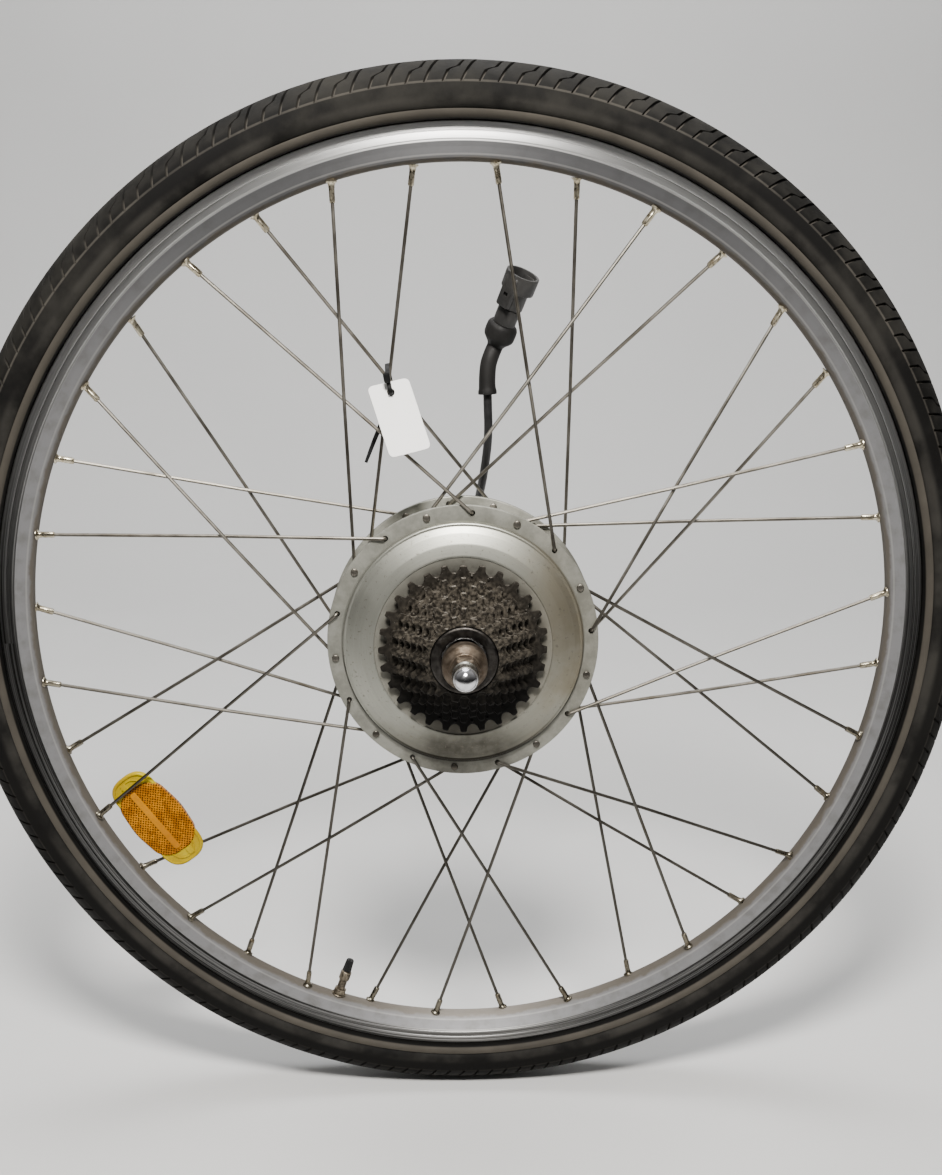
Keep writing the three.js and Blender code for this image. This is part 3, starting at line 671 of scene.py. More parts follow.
def make_boot():
    """A tube round the cable's end that bends over into a bulge on the connector's axis."""
    axis = CONNECTOR_TURN @ Vector((0, 1, 0))
    neck = smooth_route([(18.5, 50, 157.4), (18.2, 50, 166), (18.9, 50.2, 176), (21.2, 51, 183),
                         tuple(BULGE - 11.6 * axis)], 5)
    foot = [6.4, 6.5, 6.0, 5.8]
    radii = foot + [5.8 - 0.3 * i / len(neck) for i in range(len(foot), len(neck))]
    flare = [(-10.2, 5.8), (-8.8, 6.7), (-7.4, 8.0), (-6.0, 9.4), (-4.8, 10.3), (-3.4, 10.7),
             (0, 10.8), (2.8, 10.6), (4.2, 10.0), (5.3, 8.8)]
    spine = [*neck, *[BULGE + axis * along for along, _ in flare]]
    radii += [r for _, r in flare]
    return swept(spine, circle(1, 28), Vector((0, 1, 0)), radii)


def turned_about_y(degrees, out=0.0):
    """Moves a part out along Z and then turns it about Y."""
    return Matrix.Rotation(radians(degrees), 4, "Y") @ Matrix.Translation((0, 0, out))


def make_connector():
    """The shell with its grip ribs, latch, step, key and pins, and the notch to cut in the latch.

    Sizes along its axis count from the middle of the boot's bulge.
    """
    low, seam, collar, end = 5.6, 16.6, 28.8, 40.0
    profile = [(7.8, low), (7.8, seam - 0.5), (7.3, seam - 0.3), (7.3, seam + 0.3), (8.3, seam + 0.5),
               (8.5, collar - 0.3), (11.4, collar), (11.6, end), (9.7, end), (9.6, collar + 1.2)]
    parts = [lathed(profile, 0.4, 2, 48)]
    rib = slab(rounded_box(2.4, 2.2, 0.5), low + 1.4, seam - 1.6, 0.4)
    parts += [moved(rib, turned_about_y(turn, 7.3)) for turn in (-30, -6, 18, 150, 174, 198)]
    latch = slab(rounded_box(10.5, 3.6, 1.0), seam + 1.0, end - 2.2, 0.8)
    parts.append(moved(latch, turned_about_y(LATCH_TURN, 9.4)))
    step = slab(rounded_box(8.5, 3.0, 0.8), collar - 1.5, end - 2.5, 0.6)
    parts.append(moved(step, turned_about_y(LATCH_TURN + 180, 10.2)))
    pin = lathed([(1.0, collar), (1.0, collar + 6), (0.5, collar + 7)], 0.3, 2, 12)
    parts += [moved(pin, turned_about_y(turn, 5)) for turn in range(0, 360, 72)]
    key = slab(rounded_box(2.2, 1.6, 0.3), collar, end - 2, 0.3)
    parts.append(moved(key, turned_about_y(LATCH_TURN + 180, 9.0)))
    notch = slab(rounded_box(3.4, 5, 0.6), seam + 8.2, seam + 10.6, 0.2)
    return joined(*parts), moved(notch, turned_about_y(LATCH_TURN, 11.6))


def motor_cable():
    route = smooth_route(CABLE_ROUTE, 4)
    sheath = swept(route, circle(CABLE_R, 20))
    cable = piece("motor_cable_sheath", sheath, "jacket", AXLE, ["motor_cable"])
    boot = piece("connector_boot_moulding", make_boot(), "boot", AXLE, ["connector_boot"])
    shape, notch = make_connector()
    connector = piece("connector_shell", along_connector(shape), "plug", AXLE,
                      ["connector_body"])
    carve(connector, along_connector(notch))


motor_cable()


# ---- tyre ----
TREAD_PAIRS = 96  # each pair is one plain groove and one stepped groove
# Columns of one pair, as shares of it, with how deep each is in the plain or the stepped groove.
TREAD_COLUMNS = [(-0.045, 0, 0), (-0.026, 1, 0), (0.026, 1, 0), (0.045, 0, 0), (0.25, 0, 0),
                 (0.455, 0, 0), (0.474, 0, 1), (0.526, 0, 1), (0.545, 0, 0), (0.75, 0, 0)]
STEPPED_COLUMNS_FROM = 0.4
SHOULDER_R = 340.4
TREAD_HALF_WIDTH = 23.6
TREAD_ROUND = 20  # how far the crown rises above the middle of the tread's ellipse
GROOVE_DEPTH = 1.8
GROOVE_LEAN = 11.5  # how far a groove runs round the tyre from shoulder to crown
GROOVE_STEP = 5.0  # how far the stepped groove jumps
STEP_SHARE, STEP_LENGTH = 0.32, 0.1  # where it jumps, as shares of the way from shoulder to crown
PLAIN_END, STEPPED_END = 0.86, 0.72  # where the grooves end, as shares of that way
RIB_R = (320.9, 325.8)  # the raised rib just outside the rim
RIB_Y = 17.6


def tread_rows():
    """(radius, y, share of the way from shoulder to crown) over the tread, from shoulder to shoulder."""
    rows = []
    steps = 17
    middle = TYRE_R - TREAD_ROUND
    widest = acos((SHOULDER_R - middle) / TREAD_ROUND)
    for i in range(-steps, steps + 1):
        a = widest * i / steps
        rows.append((middle + TREAD_ROUND * cos(a), TREAD_HALF_WIDTH * sin(a), 1 - abs(i) / steps))
    return rows


SIDEWALL = [(340.0, 22.1), (338.2, 22.4), (334.6, 23.0), (331.2, 22.9), (328.6, 22.1), (326.9, 20.9),
            (326.0, 19.9), (325.7, 20.6), (324.8, 20.8), (323.0, 20.1), (321.4, 18.9), (320.9, 17.6),
            (320.7, 14.4), (320.6, 12.4), (320.5, 9.7), (316.6, 9.3), (312.6, 9.0), (312.0, 8.0)]
LINING = [(313.5, 6.6), (323, 7.2), (328, 15.6), (334, 19.2), (344, 15.5), (349, 0)]


def groove_at(share):
    """The grooves' lean and the stepped one's jump, as angles, and how deep each kind is, from 0 to 1."""
    if share is None:
        return 0.0, 0.0, 0.0, 0.0
    jump = GROOVE_STEP * min(max((share - STEP_SHARE) / STEP_LENGTH, 0), 1)
    return GROOVE_LEAN * share / TYRE_R, jump / TYRE_R, float(share < PLAIN_END), float(share < STEPPED_END)


def tyre():
    rows = [(r, -y, None) for r, y in reversed(SIDEWALL)]
    rows += tread_rows()
    rows += [(r, y, None) for r, y in SIDEWALL + LINING]
    rows += [(r, -y, None) for r, y in reversed(LINING[:-1])]
    pair = 2 * pi / TREAD_PAIRS
    loops, groove, rib = [], [], []
    for r, y, share in rows:
        lean, jump, plain_depth, stepped_depth = groove_at(share)
        on_rib = share is None and RIB_R[0] < r < RIB_R[1] and abs(y) > RIB_Y
        loop = []
        for i in range(TREAD_PAIRS):
            for at, in_plain, in_stepped in TREAD_COLUMNS:
                angle = (i + at) * pair - lean - (jump if at > STEPPED_COLUMNS_FROM else 0)
                depth = GROOVE_DEPTH * (in_plain * plain_depth + in_stepped * stepped_depth)
                # A groove is cut inwards and, towards the shoulders, sideways too.
                here = r - depth * 0.8
                side = y - copysign(depth * 0.6 * min(abs(y) / 20, 1), y)
                loop.append((here * cos(angle), side, here * sin(angle)))
                groove.append(1.0 if depth > 0 else 0.0)
                rib.append(1.0 if on_rib else 0.0)
        loops.append(loop)
    obj = piece("tyre_casing", skin(loops), "rubber", WHEEL, ["tyre"], 40)
    for name, values in (("groove", groove), ("rib", rib)):
        attribute = obj.data.attributes.new(name, "FLOAT", "POINT")
        attribute.data.foreach_set("value", values)


tyre()


# ---- rim and valve ----
def rim():
    """One closed outline, made from its y > 0 half, which starts and ends at y = 0."""
    w = RIM_HALF_WIDTH
    inner = [(310.6, 0), (310.6, 6.5), (311.0, 9.2)]
    wall = [(311.6, 9.75), (319.7, 9.75), (RIM_R, 10.3), (RIM_R, w - 0.5), (319.7, w), (315.0, w),
            (314.6, w - 0.5), (314.2, w), (310.6, w), (310.1, w - 0.6), (309.3, w - 0.8), (306.2, 9.6),
            (302.6, 7.9), (300.2, 6.3), (298.5, 3.8), (298, 0)]
    half = [*inner, *softened([inner[-1], *wall], 0.22, 2, closed=False)[1:]]
    outline = half + [(r, -y) for r, y in reversed(half) if y > 0.01]
    piece("rim_extrusion", turned(outline, 360), "rim", WHEEL, ["rim"], 20)


rim()

VALVE_ANGLE = WHEEL_PHASE - 195
CAP_TIP_R = 266.5


def knurled(angle, r, y):
    """Sixteen ridges on the dust cap."""
    return 1 - 0.35 / max(r, 0.1) * (0.5 + 0.5 * cos(16 * angle))


def fluted(angle, r, y):
    """Twelve shallow flutes on the valve's collar, where it is thick."""
    return 1 - (0.06 if r > 3.8 else 0.0) * (0.5 + 0.5 * cos(12 * angle))


def valve():
    """Sizes along the valve count from the cap's tip towards the tyre."""
    outward = polar(1, 0, VALVE_ANGLE)
    tip = outward * CAP_TIP_R
    cap = lathed([(1.6, 0), (2.9, 0.9), (3.5, 10.3), (2.6, 10.6)], 0.6, 3, 64, knurled)
    piece("valve_dust_cap", placed_along(tip, outward, cap), "cap", WHEEL, ["valve_cap"])
    collar = lathed([(2.5, 10.7), (4.2, 11.2), (4.3, 17.6), (3.2, 19.2), (3.1, 32.5)], 0.5, 3, 64, fluted)
    nut = slab(softened(circle(5.1, 6), 0.5, 2), 26.6, 31.0, 0.4, hole=(0, 0, 3.0))
    washer = slab(circle(5.8, 32), 31.1, 31.9, 0.25, hole=(0, 0, 3.0))
    piece("valve_body", placed_along(tip, outward, joined(collar, nut, washer)), "brass", WHEEL,
          ["valve_stem"])


valve()


# ---- hub ----
def flange_holes():
    """Pegs that cut the spoke holes. The left flange's holes sit 10 degrees on, between the drive side's."""
    tools = []
    for side, phase in ((-1, 0), (1, 10)):
        for i in range(HOLES_PER_FLANGE):
            angle = WHEEL_PHASE + phase + i * 360 / HOLES_PER_FLANGE
            low = polar(HOLE_CIRCLE_R, side * (FLANGE_IN_Y - 2), angle)
            tools.append(placed_along(low, Vector((0, side, 0)), turned([(1.9, 0), (1.9, 8)], 16, False)))
    return joined(*tools)


def hub_piece(name, outside, inside, corner, node):
    """A hub casting from the outline of its outside, whose corners are rounded, and that of its inside."""
    shape = turned([*softened(outside, corner, 3, closed=False), *inside], 240)
    return piece(name, shape, "hub", WHEEL, [node])


def hub():
    out_y, in_y = FLANGE_OUT_Y, FLANGE_IN_Y
    shell_outside = [
        (81.3, -out_y), (FLANGE_R, -out_y), (FLANGE_R, -in_y), (86.5, -in_y + 0.6), (85, -in_y + 3),
        (85, in_y - 3), (86.5, in_y - 0.6), (FLANGE_R, in_y), (FLANGE_R, out_y), (83.4, out_y), (83, 24.6),
        (81.5, 25.4), (72, 29.6), (62, 31.8), (61.2, 31.2), (34, 31.2), (33.2, 32), (20.4, 32), (20, 35.5)]
    shell_inside = [(16, 35.5), (16, 27.5), (60, 27.5), (80, 19)]
    carve(hub_piece("hub_casting", shell_outside, shell_inside, 0.8, "hub_shell"), flange_holes())
    cover_outside = [
        (80.8, -17), (80.8, -21.8), (83, -21.8), (83, -25.2), (82.0, -25.7), (81.0, -25.5), (77, -27.9),
        (70, -30.7), (62.6, -32.4), (61.6, -32.4), (61.3, -31.9), (17, -31.9), (17, -45)]
    cover_inside = [(14.3, -45), (14.3, -28.3), (78, -22), (78, -17)]
    hub_piece("drive_side_cover", cover_outside, cover_inside, 0.7, "drive_cover")


hub()


# ---- spokes ----
WIRE_R = 1.19
TOUCH = 1.22  # how far a wire's middle lies from where two wires touch
BEND_R = 2.6
LACING_STEP = 40  # degrees round the wheel from a wire's head to its nipple
CROSSING_AT = 0.46  # share of the way from the hub at which a wire passes over its neighbour
CROSSING_Y = 12
WIRE_END_R = 296.8
WIRE_END_Y = 3
NIPPLE_LENGTH = 12
NIPPLE_OVERLAP = 1.3  # how far the nipple's rim end passes the wire's


def spoke_route(side, hub_angle, lean, outward):
    """From the head, through the flange, round the bend, past the outer crossing and into the nipple.

    side is -1 for the drive side, lean is the way round that the wire goes, and outward is 1 for a wire that
    leaves the outer face of the flange and -1 for one that leaves the inner face.
    """
    head_y = side * (FLANGE_IN_Y - 1.2 if outward > 0 else FLANGE_OUT_Y + 1.0)
    bend_y = side * (FLANGE_OUT_Y + 1.7 if outward > 0 else FLANGE_IN_Y - 1.7)
    bend = polar(HOLE_CIRCLE_R, bend_y, hub_angle)
    end = polar(WIRE_END_R, side * WIRE_END_Y, hub_angle + lean * LACING_STEP)
    crossing = bend.lerp(end, CROSSING_AT)
    crossing.y = side * (CROSSING_Y - outward * TOUCH)
    return [polar(HOLE_CIRCLE_R, head_y, hub_angle), bend, crossing, end]


def nipple_shape():
    """Made about Y, from the spoke end at y = 0 to the rim at y = NIPPLE_LENGTH."""
    flats = 8.2

    def squared(angle, r, y):
        if not 0.5 < y < flats:
            return 1.0
        # The angle from the middle of the nearest of four flats.
        quarter = (angle + pi / 4) % (pi / 2) - pi / 4
        return min(1.0, 0.83 / cos(quarter))

    outline = [(1.3, -0.1), (1.75, 0.1), (2.15, 0.8), (2.15, flats - 0.2), (2.0, flats + 0.3), (2.2, 10.4),
               (2.9, 11.2), (3.7, 11.8), (3.8, 12.4)]
    return turned(outline, 32, False, squared)


def spoke(name, side, hub_angle, lean, outward):
    route = spoke_route(side, hub_angle, lean, outward)
    bent = [Vector(point) for point in softened(route, BEND_R, 5, closed=False)]
    head = lathed([(1.3, 1.2), (2.5, 0.5), (2.55, 0), (2.1, -0.45), (0.8, -0.6)], 0.25, 2, 20)
    shape = joined(swept(bent, circle(WIRE_R, 10)), placed_along(route[0], route[1] - route[0], head))
    run = (route[-1] - route[-2]).normalized()
    nipple = placed_along(route[-1] - run * (NIPPLE_LENGTH - NIPPLE_OVERLAP), run, nipple_shape())
    wire = piece(f"spoke_{name}", shape, "spoke", WHEEL)
    piece(f"nipple_{name}", nipple, "nipple", WHEEL, sharp=40)
    return wire


def spokes():
    for side, label, phase in ((-1, "drive", 0), (1, "left", -50)):
        for i in range(HOLES_PER_FLANGE // 2):
            angle = WHEEL_PHASE + phase - i * LACING_STEP
            wire = spoke(f"{label}_bent_{i + 1}", side, angle, 1, 1)
            spoke(f"{label}_headed_{i + 1}", side, angle + 60, -1, -1)
            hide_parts(f"crossed_spokes_{label}_{i + 1}")


spokes()


# ---- freewheel ----
COG_TEETH = [28, 24, 22, 20, 18, 16, 14]
CHAIN_PITCH = 12.7
ROLLER_R = 3.95
TOOTH_HEIGHT = 1.7  # above the circle the rollers' middles lie on
SHORT_BY = 1.2  # how much lower the teeth are that let the chain shift
COG_HALF = 0.95
BIG_BORE, SMALL_BORE = 27.2, 23.2
BIG_BORE_COGS = 5
SPACER_WIDTH = 3.4
SPACER_END = 3.75  # from the middle of a cog to the next cog's face
STUD_INSET = 6.2  # from the rollers' circle in to the small studs
STUD_ROOM = 2.2  # least distance from the bore to a stud's middle
STUDS_LEFT_OUT = 0.35  # share of the places that have no stud
TOOTH_SHARES = [-0.5, -0.42, -0.34, -0.27, -0.22, -0.17, -0.11, -0.06,
                0.0, 0.06, 0.11, 0.17, 0.22, 0.27, 0.34, 0.42]


def pitch_radius(teeth):
    """Radius of the circle on which the chain's rollers lie."""
    return CHAIN_PITCH / (2 * sin(pi / teeth))


def tooth_radius(teeth, phase):
    """Outer radius of a sprocket at a share of its tooth pitch; 0 is the tip of a tooth."""
    pitch_r = pitch_radius(teeth)
    away = abs(phase)
    arc = (0.5 - away) * 2 * pi * pitch_r / teeth
    seat = ROLLER_R * 0.92  # how far a roller's seat reaches to each side
    if arc < seat:
        return pitch_r - sqrt(ROLLER_R ** 2 - arc ** 2)
    top = min(1, max(0, (0.5 - seat * teeth / (2 * pi * pitch_r) - away) / 0.1))
    base = pitch_r - ROLLER_R * 0.39
    return base + (pitch_r + TOOTH_HEIGHT - base) * (1 - (1 - top) ** 2)


def cog(index, teeth):
    bore = BIG_BORE if index < BIG_BORE_COGS else SMALL_BORE
    low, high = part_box(f"cog_{teeth}")
    middle = (low.y + high.y) / 2 / MM
    pitch_r = pitch_radius(teeth)
    # Each row is (on the teeth rather than in the bore, y, how far its chamfer draws it in).
    rows = [(True, -COG_HALF * 0.45, 0.0), (True, COG_HALF * 0.45, 0.0), (True, COG_HALF, 0.8),
            (False, COG_HALF, 0.0), (False, -COG_HALF, 0.0), (True, -COG_HALF, 0.8)]
    loops = []
    for on_teeth, side, inset in rows:
        loop = []
        for i in range(teeth):
            short = SHORT_BY if (i * 7 + index) % 9 in (0, 4) else 0.0
            for share in TOOTH_SHARES:
                a = 2 * pi * (i + share) / teeth
                r = min(tooth_radius(teeth, share), pitch_r + TOOTH_HEIGHT - short)
                r = r - inset if on_teeth else bore
                loop.append((r * cos(a), middle + side, r * sin(a)))
        loops.append(loop)
    parts = [skin(loops)]
    if index > 0:
        near, far, outer = middle + COG_HALF, middle + SPACER_END, bore + SPACER_WIDTH
        parts.append(ring([(bore, near), (outer, near), (outer, far), (bore, far)], 0.3, 2, 60))
    draws = random.Random(teeth)
    stud = lathed([(1.0, 0), (1.0, 0.5), (0.5, 0.75)], 0.2, 2, 10)
    stud_r = pitch_r - STUD_INSET
    for i in range(teeth):
        if stud_r < bore + STUD_ROOM or draws.random() < STUDS_LEFT_OUT:
            continue
        place = polar(stud_r, middle - COG_HALF, 360 * (i + 0.5) / teeth)
        parts.append(placed_along(place, Vector((0, -1, 0)), stud))
    piece(f"sprocket_{teeth}", joined(*parts), "grease", FREEWHEEL,
          [f"cog_{teeth}"], 25)


def splined(angle, r, y):
    """Twelve shallow splines in the freewheel's bore, near its outer end."""
    return 1.0 - (0.035 if r < 15.6 and y < -61 and cos(12 * angle) > 0.2 else 0.0)


def freewheel():
    for index, teeth in enumerate(COG_TEETH):
        cog(index, teeth)
    outline = [(20.6, -33.2), (26.4, -33.2), (26.4, -59), (22.6, -59), (22.6, -66.4), (21.4, -67.2),
               (16.4, -67.2), (15.6, -66.4), (15.2, -62), (20.6, -60.8)]
    piece("freewheel_shell", ring(outline, 0.5, 2, 144, splined), "dark_steel", FREEWHEEL,
          ["freewheel_body"])


freewheel()


# ---- axle, nuts and washer ----
def threaded(radius, start, end, pitch=1.25, depth=0.55):
    """An outline for a thread drawn as close-set ridges, from start to end along Y."""
    points = []
    count = int(abs(end - start) / pitch)
    step = (end - start) / count
    for i in range(count):
        points.append((radius, start + step * (i + 0.15)))
        points.append((radius - depth, start + step * (i + 0.6)))
    return points


def flat_cutters(low, high):
    """Blocks that leave two flats 10 mm apart on the axle, between low and high in Y."""
    block = slab([(-12, -3), (12, -3), (12, 3), (-12, 3)], low, high, 0.01)
    return [lifted(block, z) for z in (-8, 8)]


def axle():
    outline = [(5.0, -112), *threaded(6, -111, -60), (6, -59), (6, -27), (7.2, -27), (7.2, 55),
               *threaded(7.2, 56, 94.6), (6.4, 96), (3.7, 96), (3.7, 80)]
    shaft = piece("axle_shaft", turned(outline, 40, False), "zinc", AXLE, ["axle"])
    for tool in (*flat_cutters(-114, -68), *flat_cutters(68, 98)):
        carve(shaft, tool)
    grommet = ring([(7.0, 96.2), (5.6, 99.5), (4.2, 101.5), (3.4, 101.8), (3.3, 96.1)], 0.5, 3, 36)
    piece("cable_grommet", grommet, "boot", AXLE)


def chamfered_nut(across, bore, low, high):
    """A hexagon nut whose corners are turned down at both ends."""
    half = across / 2
    corner = across / sqrt(3)

    def hexed(angle, r, y):
        sixth = angle % (pi / 3) - pi / 6
        return min(1.0, half / cos(sixth) / r) if r > half else 1.0

    outline = [(bore, low + 0.4), (bore + 0.5, low), (half - 0.4, low), (corner, low + 1.4),
               (corner, high - 1.4), (half - 0.4, high), (bore + 0.5, high), (bore, high - 0.4)]
    return turned(outline, 72, True, hexed)


def fittings():
    flange = [(6.3, -74), (15.2, -74), (15.2, -83.6), (14.6, -85.6), (11.2, -88.6), (10.4, -90), (6.3, -90)]
    nut = joined(ring(flange, 0.6, 3, 120), chamfered_nut(18, 6.3, -100, -88.5))
    piece("drive_nut", nut, "rust", AXLE, ["drive_axle_nut"])
    dome_r, dome_y = 8.4, -112.2
    dome = [(6.3, -100.3), (8.6, -100.3), (8.7, -101.4), (dome_r, -102), (dome_r, dome_y)]
    for degrees in range(8, 89, 8):
        a = radians(degrees)
        dome.append((dome_r * cos(a), dome_y - 8.2 * sin(a)))
    piece("domed_end", turned(dome, 64, False), "chrome", AXLE, ["axle_dome_cap"])
    lock = ring([(6.3, -68), (11.5, -68), (11.5, -64), (9.4, -63.4), (9.4, -36.6), (6.3, -36.6)], 0.4, 2)
    sleeve = ring([(7.5, 35.3), (11.6, 35.3), (11.6, 60.4), (7.5, 60.4)], 0.5, 2)
    tab = slab(rounded_box(8, 9.5, 0.8), 74, 76.4, 0.4)
    hook = slab(rounded_box(8, 2.6, 0.6), 69.6, 76.2, 0.5)
    disc = slab(circle(14.5, 60), 74, 76.4, 0.4, hole=(0, 0, 7.4))
    washer = joined(disc, lifted(tab, -17), lifted(hook, -20.2))
    for name, shape, node in (
            ("drive_lock_nut", lock, "drive_locknut"),
            ("left_lock_nut", joined(sleeve, chamfered_nut(21, 7.5, 60.8, 68)), "left_locknut"),
            ("torque_tab_washer", washer, "torque_washer"),
            ("left_nut", chamfered_nut(21, 7.5, 76.7, 86.7), "left_axle_nut")):
        piece(name, shape, "zinc", AXLE, [node])


axle()
fittings()


# ---- reflector ----
REFLECTOR_PLACE = Vector((-226, 0, -134.6))


def on_reflector(shape):
    turn = Matrix.Rotation(radians(REFLECTOR_TURN), 4, "Y")
    return moved(shape, Matrix.Translation(REFLECTOR_PLACE) @ turn)


def prisms(x_low, x_high, z_low, z_high, y, side, pitch=2.1, height=0.75):
    """A field of small pyramids, as in a moulded reflector. They rise by height towards side."""
    vertices, faces = [], []
    columns = int((x_high - x_low) / pitch)
    rows = int((z_high - z_low) / pitch)
    h = pitch * 0.48
    foot = y - side * 0.3
    for i in range(columns):
        for j in range(rows):
            x = x_low + (i + 0.5 + 0.5 * (j % 2)) * (x_high - x_low) / (columns + 0.5)
            z = z_low + (j + 0.5) * (z_high - z_low) / rows
            start = len(vertices)
            vertices += [(x - h, foot, z - h), (x + h, foot, z - h), (x + h, foot, z + h),
                         (x - h, foot, z + h), (x, y + side * height, z)]
            faces.append((start, start + 1, start + 2, start + 3))
            faces += [(start + k, start + (k + 1) % 4, start + 4) for k in range(4)]
    return vertices, faces


def reflector():
    """Yellow wings with raised rims, and an amber body with fields of prisms either side of a ridge."""
    wing = rounded_box(79, 34, 15.5, 12)
    parts = [slab(wing, -1.5, 1.3, 0.6)]
    for side in (-1, 1):
        arc = sorted(((x * 0.965, z * 0.92) for x, z in wing if x * side > 24), key=lambda point: point[1])
        for y in (-1.7, 1.5):
            parts.append(swept([Vector((x, y, z)) for x, z in arc], circle(0.9, 8)))
        angles = [radians(a) for a in range(-90, 91, 15)]
        inner = [Vector((side * (26 + 9.5 * cos(a)), -1.7, 9.5 * sin(a))) for a in angles]
        parts.append(swept(inner, circle(0.6, 8)))
        hook = slab(rounded_box(6.5, 5, 1.2), -2.6, 2.2, 0.6)
        parts.append(moved(hook, Matrix.Translation((side * 32.5, 0, side * 3.5))))
    piece("reflector_wings", on_reflector(joined(*parts)), "yellow", WHEEL)
    barrel = [(-29, -9), (-22, -18), (0, -21), (22, -18), (29, -9),
              (29, 9), (22, 18), (0, 21), (-22, 18), (-29, 9)]
    body = slab(softened(barrel, 6, 5), -2.7, 2.8, 0.9)
    fields = []
    for side, y in ((-1, -2.65), (1, 2.75)):
        fields.append(prisms(-22.5, 22.5, -17, -4.7, y, side))
        fields.append(prisms(-22.5, 22.5, 1.3, 17, y, side))
    piece("reflector_lens", on_reflector(joined(body, *fields)), "amber", WHEEL,
          ["reflector"], 25)
    ridge = lifted(slab(rounded_box(53, 5.0, 1.6), -3.5, 3.5, 0.9), -1.7)
    piece("reflector_ridge", on_reflector(ridge), "clear_amber", WHEEL)


reflector()


# ---- tag and tie ----
TAG_MIDDLE = Vector((-41.3, -19, 149))
TAG_ACROSS = Vector((26.7, 8, 5.4))
TAG_DOWN = Vector((18.4, -20, -40.7))


def tag():
    """A flat card with a hole near its top edge."""
    width, height = TAG_ACROSS.length, TAG_DOWN.length
    card = slab(rounded_box(width, height, 4, 6), -0.3, 0.3, 0.1)
    right = TAG_ACROSS.normalized()
    out = right.cross(-TAG_DOWN).normalized()
    up = out.cross(right)
    lean = Matrix.Translation(TAG_MIDDLE) @ Matrix((right, out, up)).transposed().to_4x4()
    obj = piece("paper_tag", moved(card, lean), "card", WHEEL, ["label_tag"])
    hole = lifted(turned([(2.6, -3), (2.6, 3)], 24, False), height * 0.36)
    carve(obj, moved(hole, lean))


TIE_MIDDLE = Vector((-47.6, 0, 169.1))
TIE_LEAN = 11  # degrees from upright


def tie():
    """The loop is drawn in Y and height above the crossing, then leaned to pass between the wires."""
    lean = Matrix.Translation(TIE_MIDDLE) @ Matrix.Rotation(-radians(TIE_LEAN), 4, "Y")
    sideways = Vector((1, 0, 0))
    loop = [(-15.8, -5.4), (17.6, -10.2), (18.4, -9.6), (18.4, 9.6), (17.6, 10.2), (-8, 6.1), (-15.8, -1.6)]
    path = [Vector((0, y, z)) for y, z in softened(loop, 2.5, 4)]
    strap = swept([*path, path[0]], rounded_box(1.1, 2.9, 0.3, 2), sideways)
    head = lifted(slab(rounded_box(4.6, 4.6, 0.8), 2.6, 7.4, 0.6), -10.6)
    knot = moved(slab(rounded_box(4.2, 6.4, 1.4), -17.2, -13.8, 0.9), Matrix.Translation((-0.6, 0, 4.2)))
    tail_route = smooth_route([(-46.6, 4, 158.5), (-52, 1.5, 147), (-58.5, -1.5, 133), (-64.5, -4, 119)], 4)
    thinner = [1 - 0.35 * (i / (len(tail_route) - 1)) ** 4 for i in range(len(tail_route))]
    tail = swept(tail_route, rounded_box(1.3, 3.0, 0.3, 2), sideways, thinner)
    shape = joined(moved(joined(strap, head, knot), lean), tail)
    piece("tie_strap", shape, "tie", WHEEL, ["cable_tie"])


tag()
tie()


# ---- inner parts keep their CAD shapes ----
INNER_LOOKS = {
    "boot": ["inner_tube"],
    "zinc": ["drive_bearing", "left_bearing", "ring_gear", "freewheel_core", "rotor_cup", "rotor_magnets",
             "sun_gear", "planet_carrier"],
    "dark_steel": ["stator_core", "overrunning_clutch"],
    "rust": ["stator_windings"],
    "card": ["planet_gear_1", "planet_gear_2", "planet_gear_3"],
}
for look_name, node_names in INNER_LOOKS.items():
    for node_name in node_names:
        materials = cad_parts[node_name].data.materials
        materials.clear()
        materials.append(LOOKS[look_name])


# ---- studio ----
FLOOR_Z = -TYRE_R - 0.6


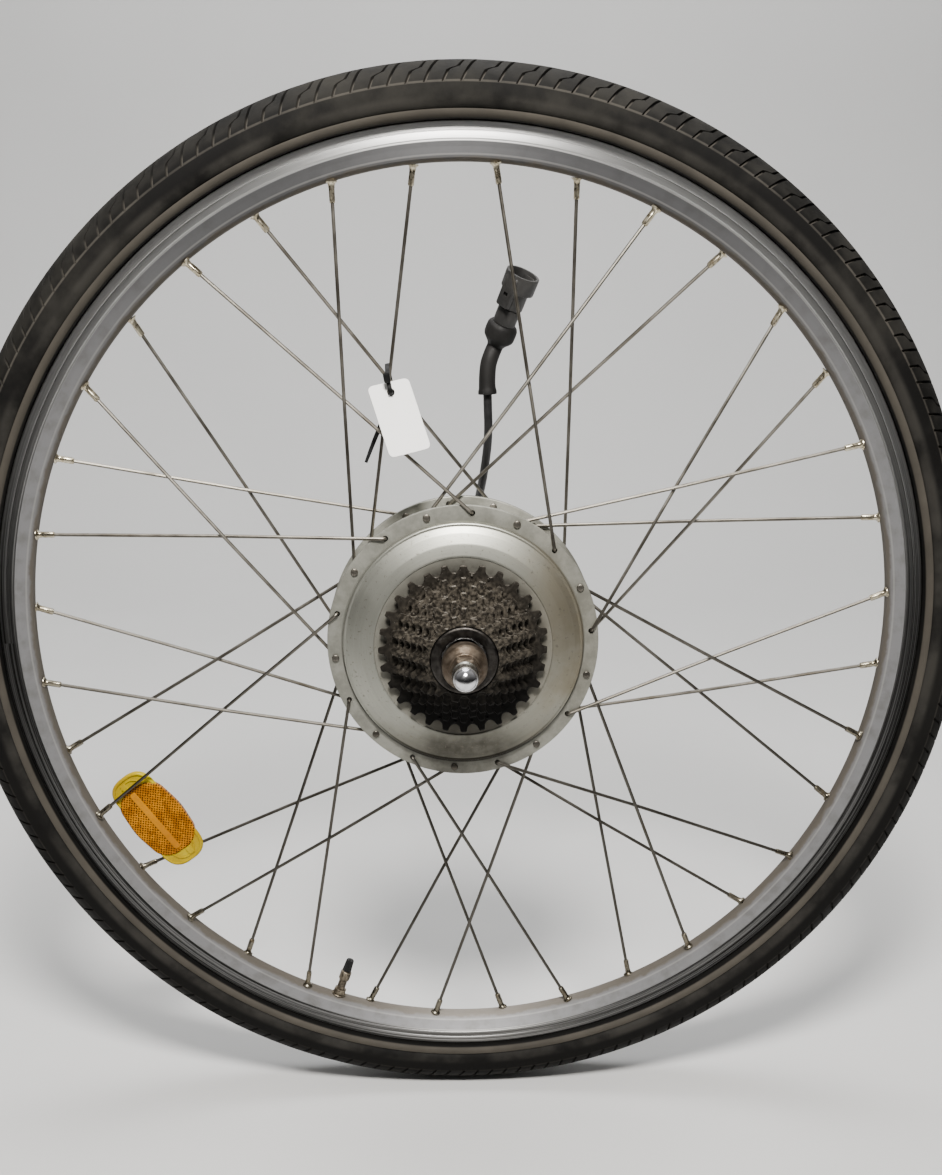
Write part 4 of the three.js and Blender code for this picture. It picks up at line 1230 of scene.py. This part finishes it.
def backdrop():
    """A pale sheet that lies on the floor and curves up far behind the wheel."""
    wide, front, back, bend, top = 6000, -3500, 2600, 900, 3600
    side_view = [(front, FLOOR_Z), (back - bend, FLOOR_Z)]
    steps = 16
    for i in range(1, steps + 1):
        a = radians(90 * i / steps)
        side_view.append((back - bend + bend * sin(a), FLOOR_Z + bend * (1 - cos(a))))
    side_view.append((back, top))
    vertices = [(x, y, z) for y, z in side_view for x in (-wide, wide)]
    faces = [(2 * i, 2 * i + 1, 2 * i + 3, 2 * i + 2) for i in range(len(side_view) - 1)]
    mesh = bpy.data.meshes.new("studio_paper")
    mesh.from_pydata([(x * MM, y * MM, z * MM) for x, y, z in vertices], [], faces)
    mesh.shade_smooth()
    mesh.materials.append(LOOKS["paper"])
    add_object("studio_paper", mesh)


def area_light(name, place, target, size, power, colour=(1, 1, 1)):
    data = bpy.data.lights.new(name, "AREA")
    data.shape = "DISK"
    data.size = size
    data.energy = power
    data.color = colour
    light = add_object(name, data)
    light.location = place
    light.rotation_euler = (Vector(target) - Vector(place)).to_track_quat("-Z", "Y").to_euler()


def surroundings():
    """Bright above and behind, darker towards the camera and below, as in a room with one lamp overhead."""
    world = bpy.data.worlds.new("studio")
    bpy.context.scene.world = world
    world.use_nodes = True
    nodes = Nodes(world.node_tree)
    background = world.node_tree.nodes["Background"]
    place = nodes.make("TexCoord").outputs["Generated"]
    _, y, z = nodes.make("SeparateXYZ", {0: place}).outputs
    level = nodes.times(nodes.band(z, -0.2, 0.95, 0.03, 0.42), nodes.band(y, -0.9, 0.3, 0.35, 1.0))
    nodes.feed(background.inputs["Strength"], level)
    background.inputs["Color"].default_value = (1.0, 0.99, 0.97, 1)


backdrop()
area_light("key", (-0.02, -1.03, 1.24), (0, 0, -0.05), 0.4, 60, (1.0, 0.97, 0.93))
area_light("floor_wash", (0, 0.6, 2.6), (0, 1.0, -0.35), 1.6, 33)
area_light("wall_wash", (0, 1.1, 2.4), (0, 2.6, 0.5), 1.8, 50)
surroundings()
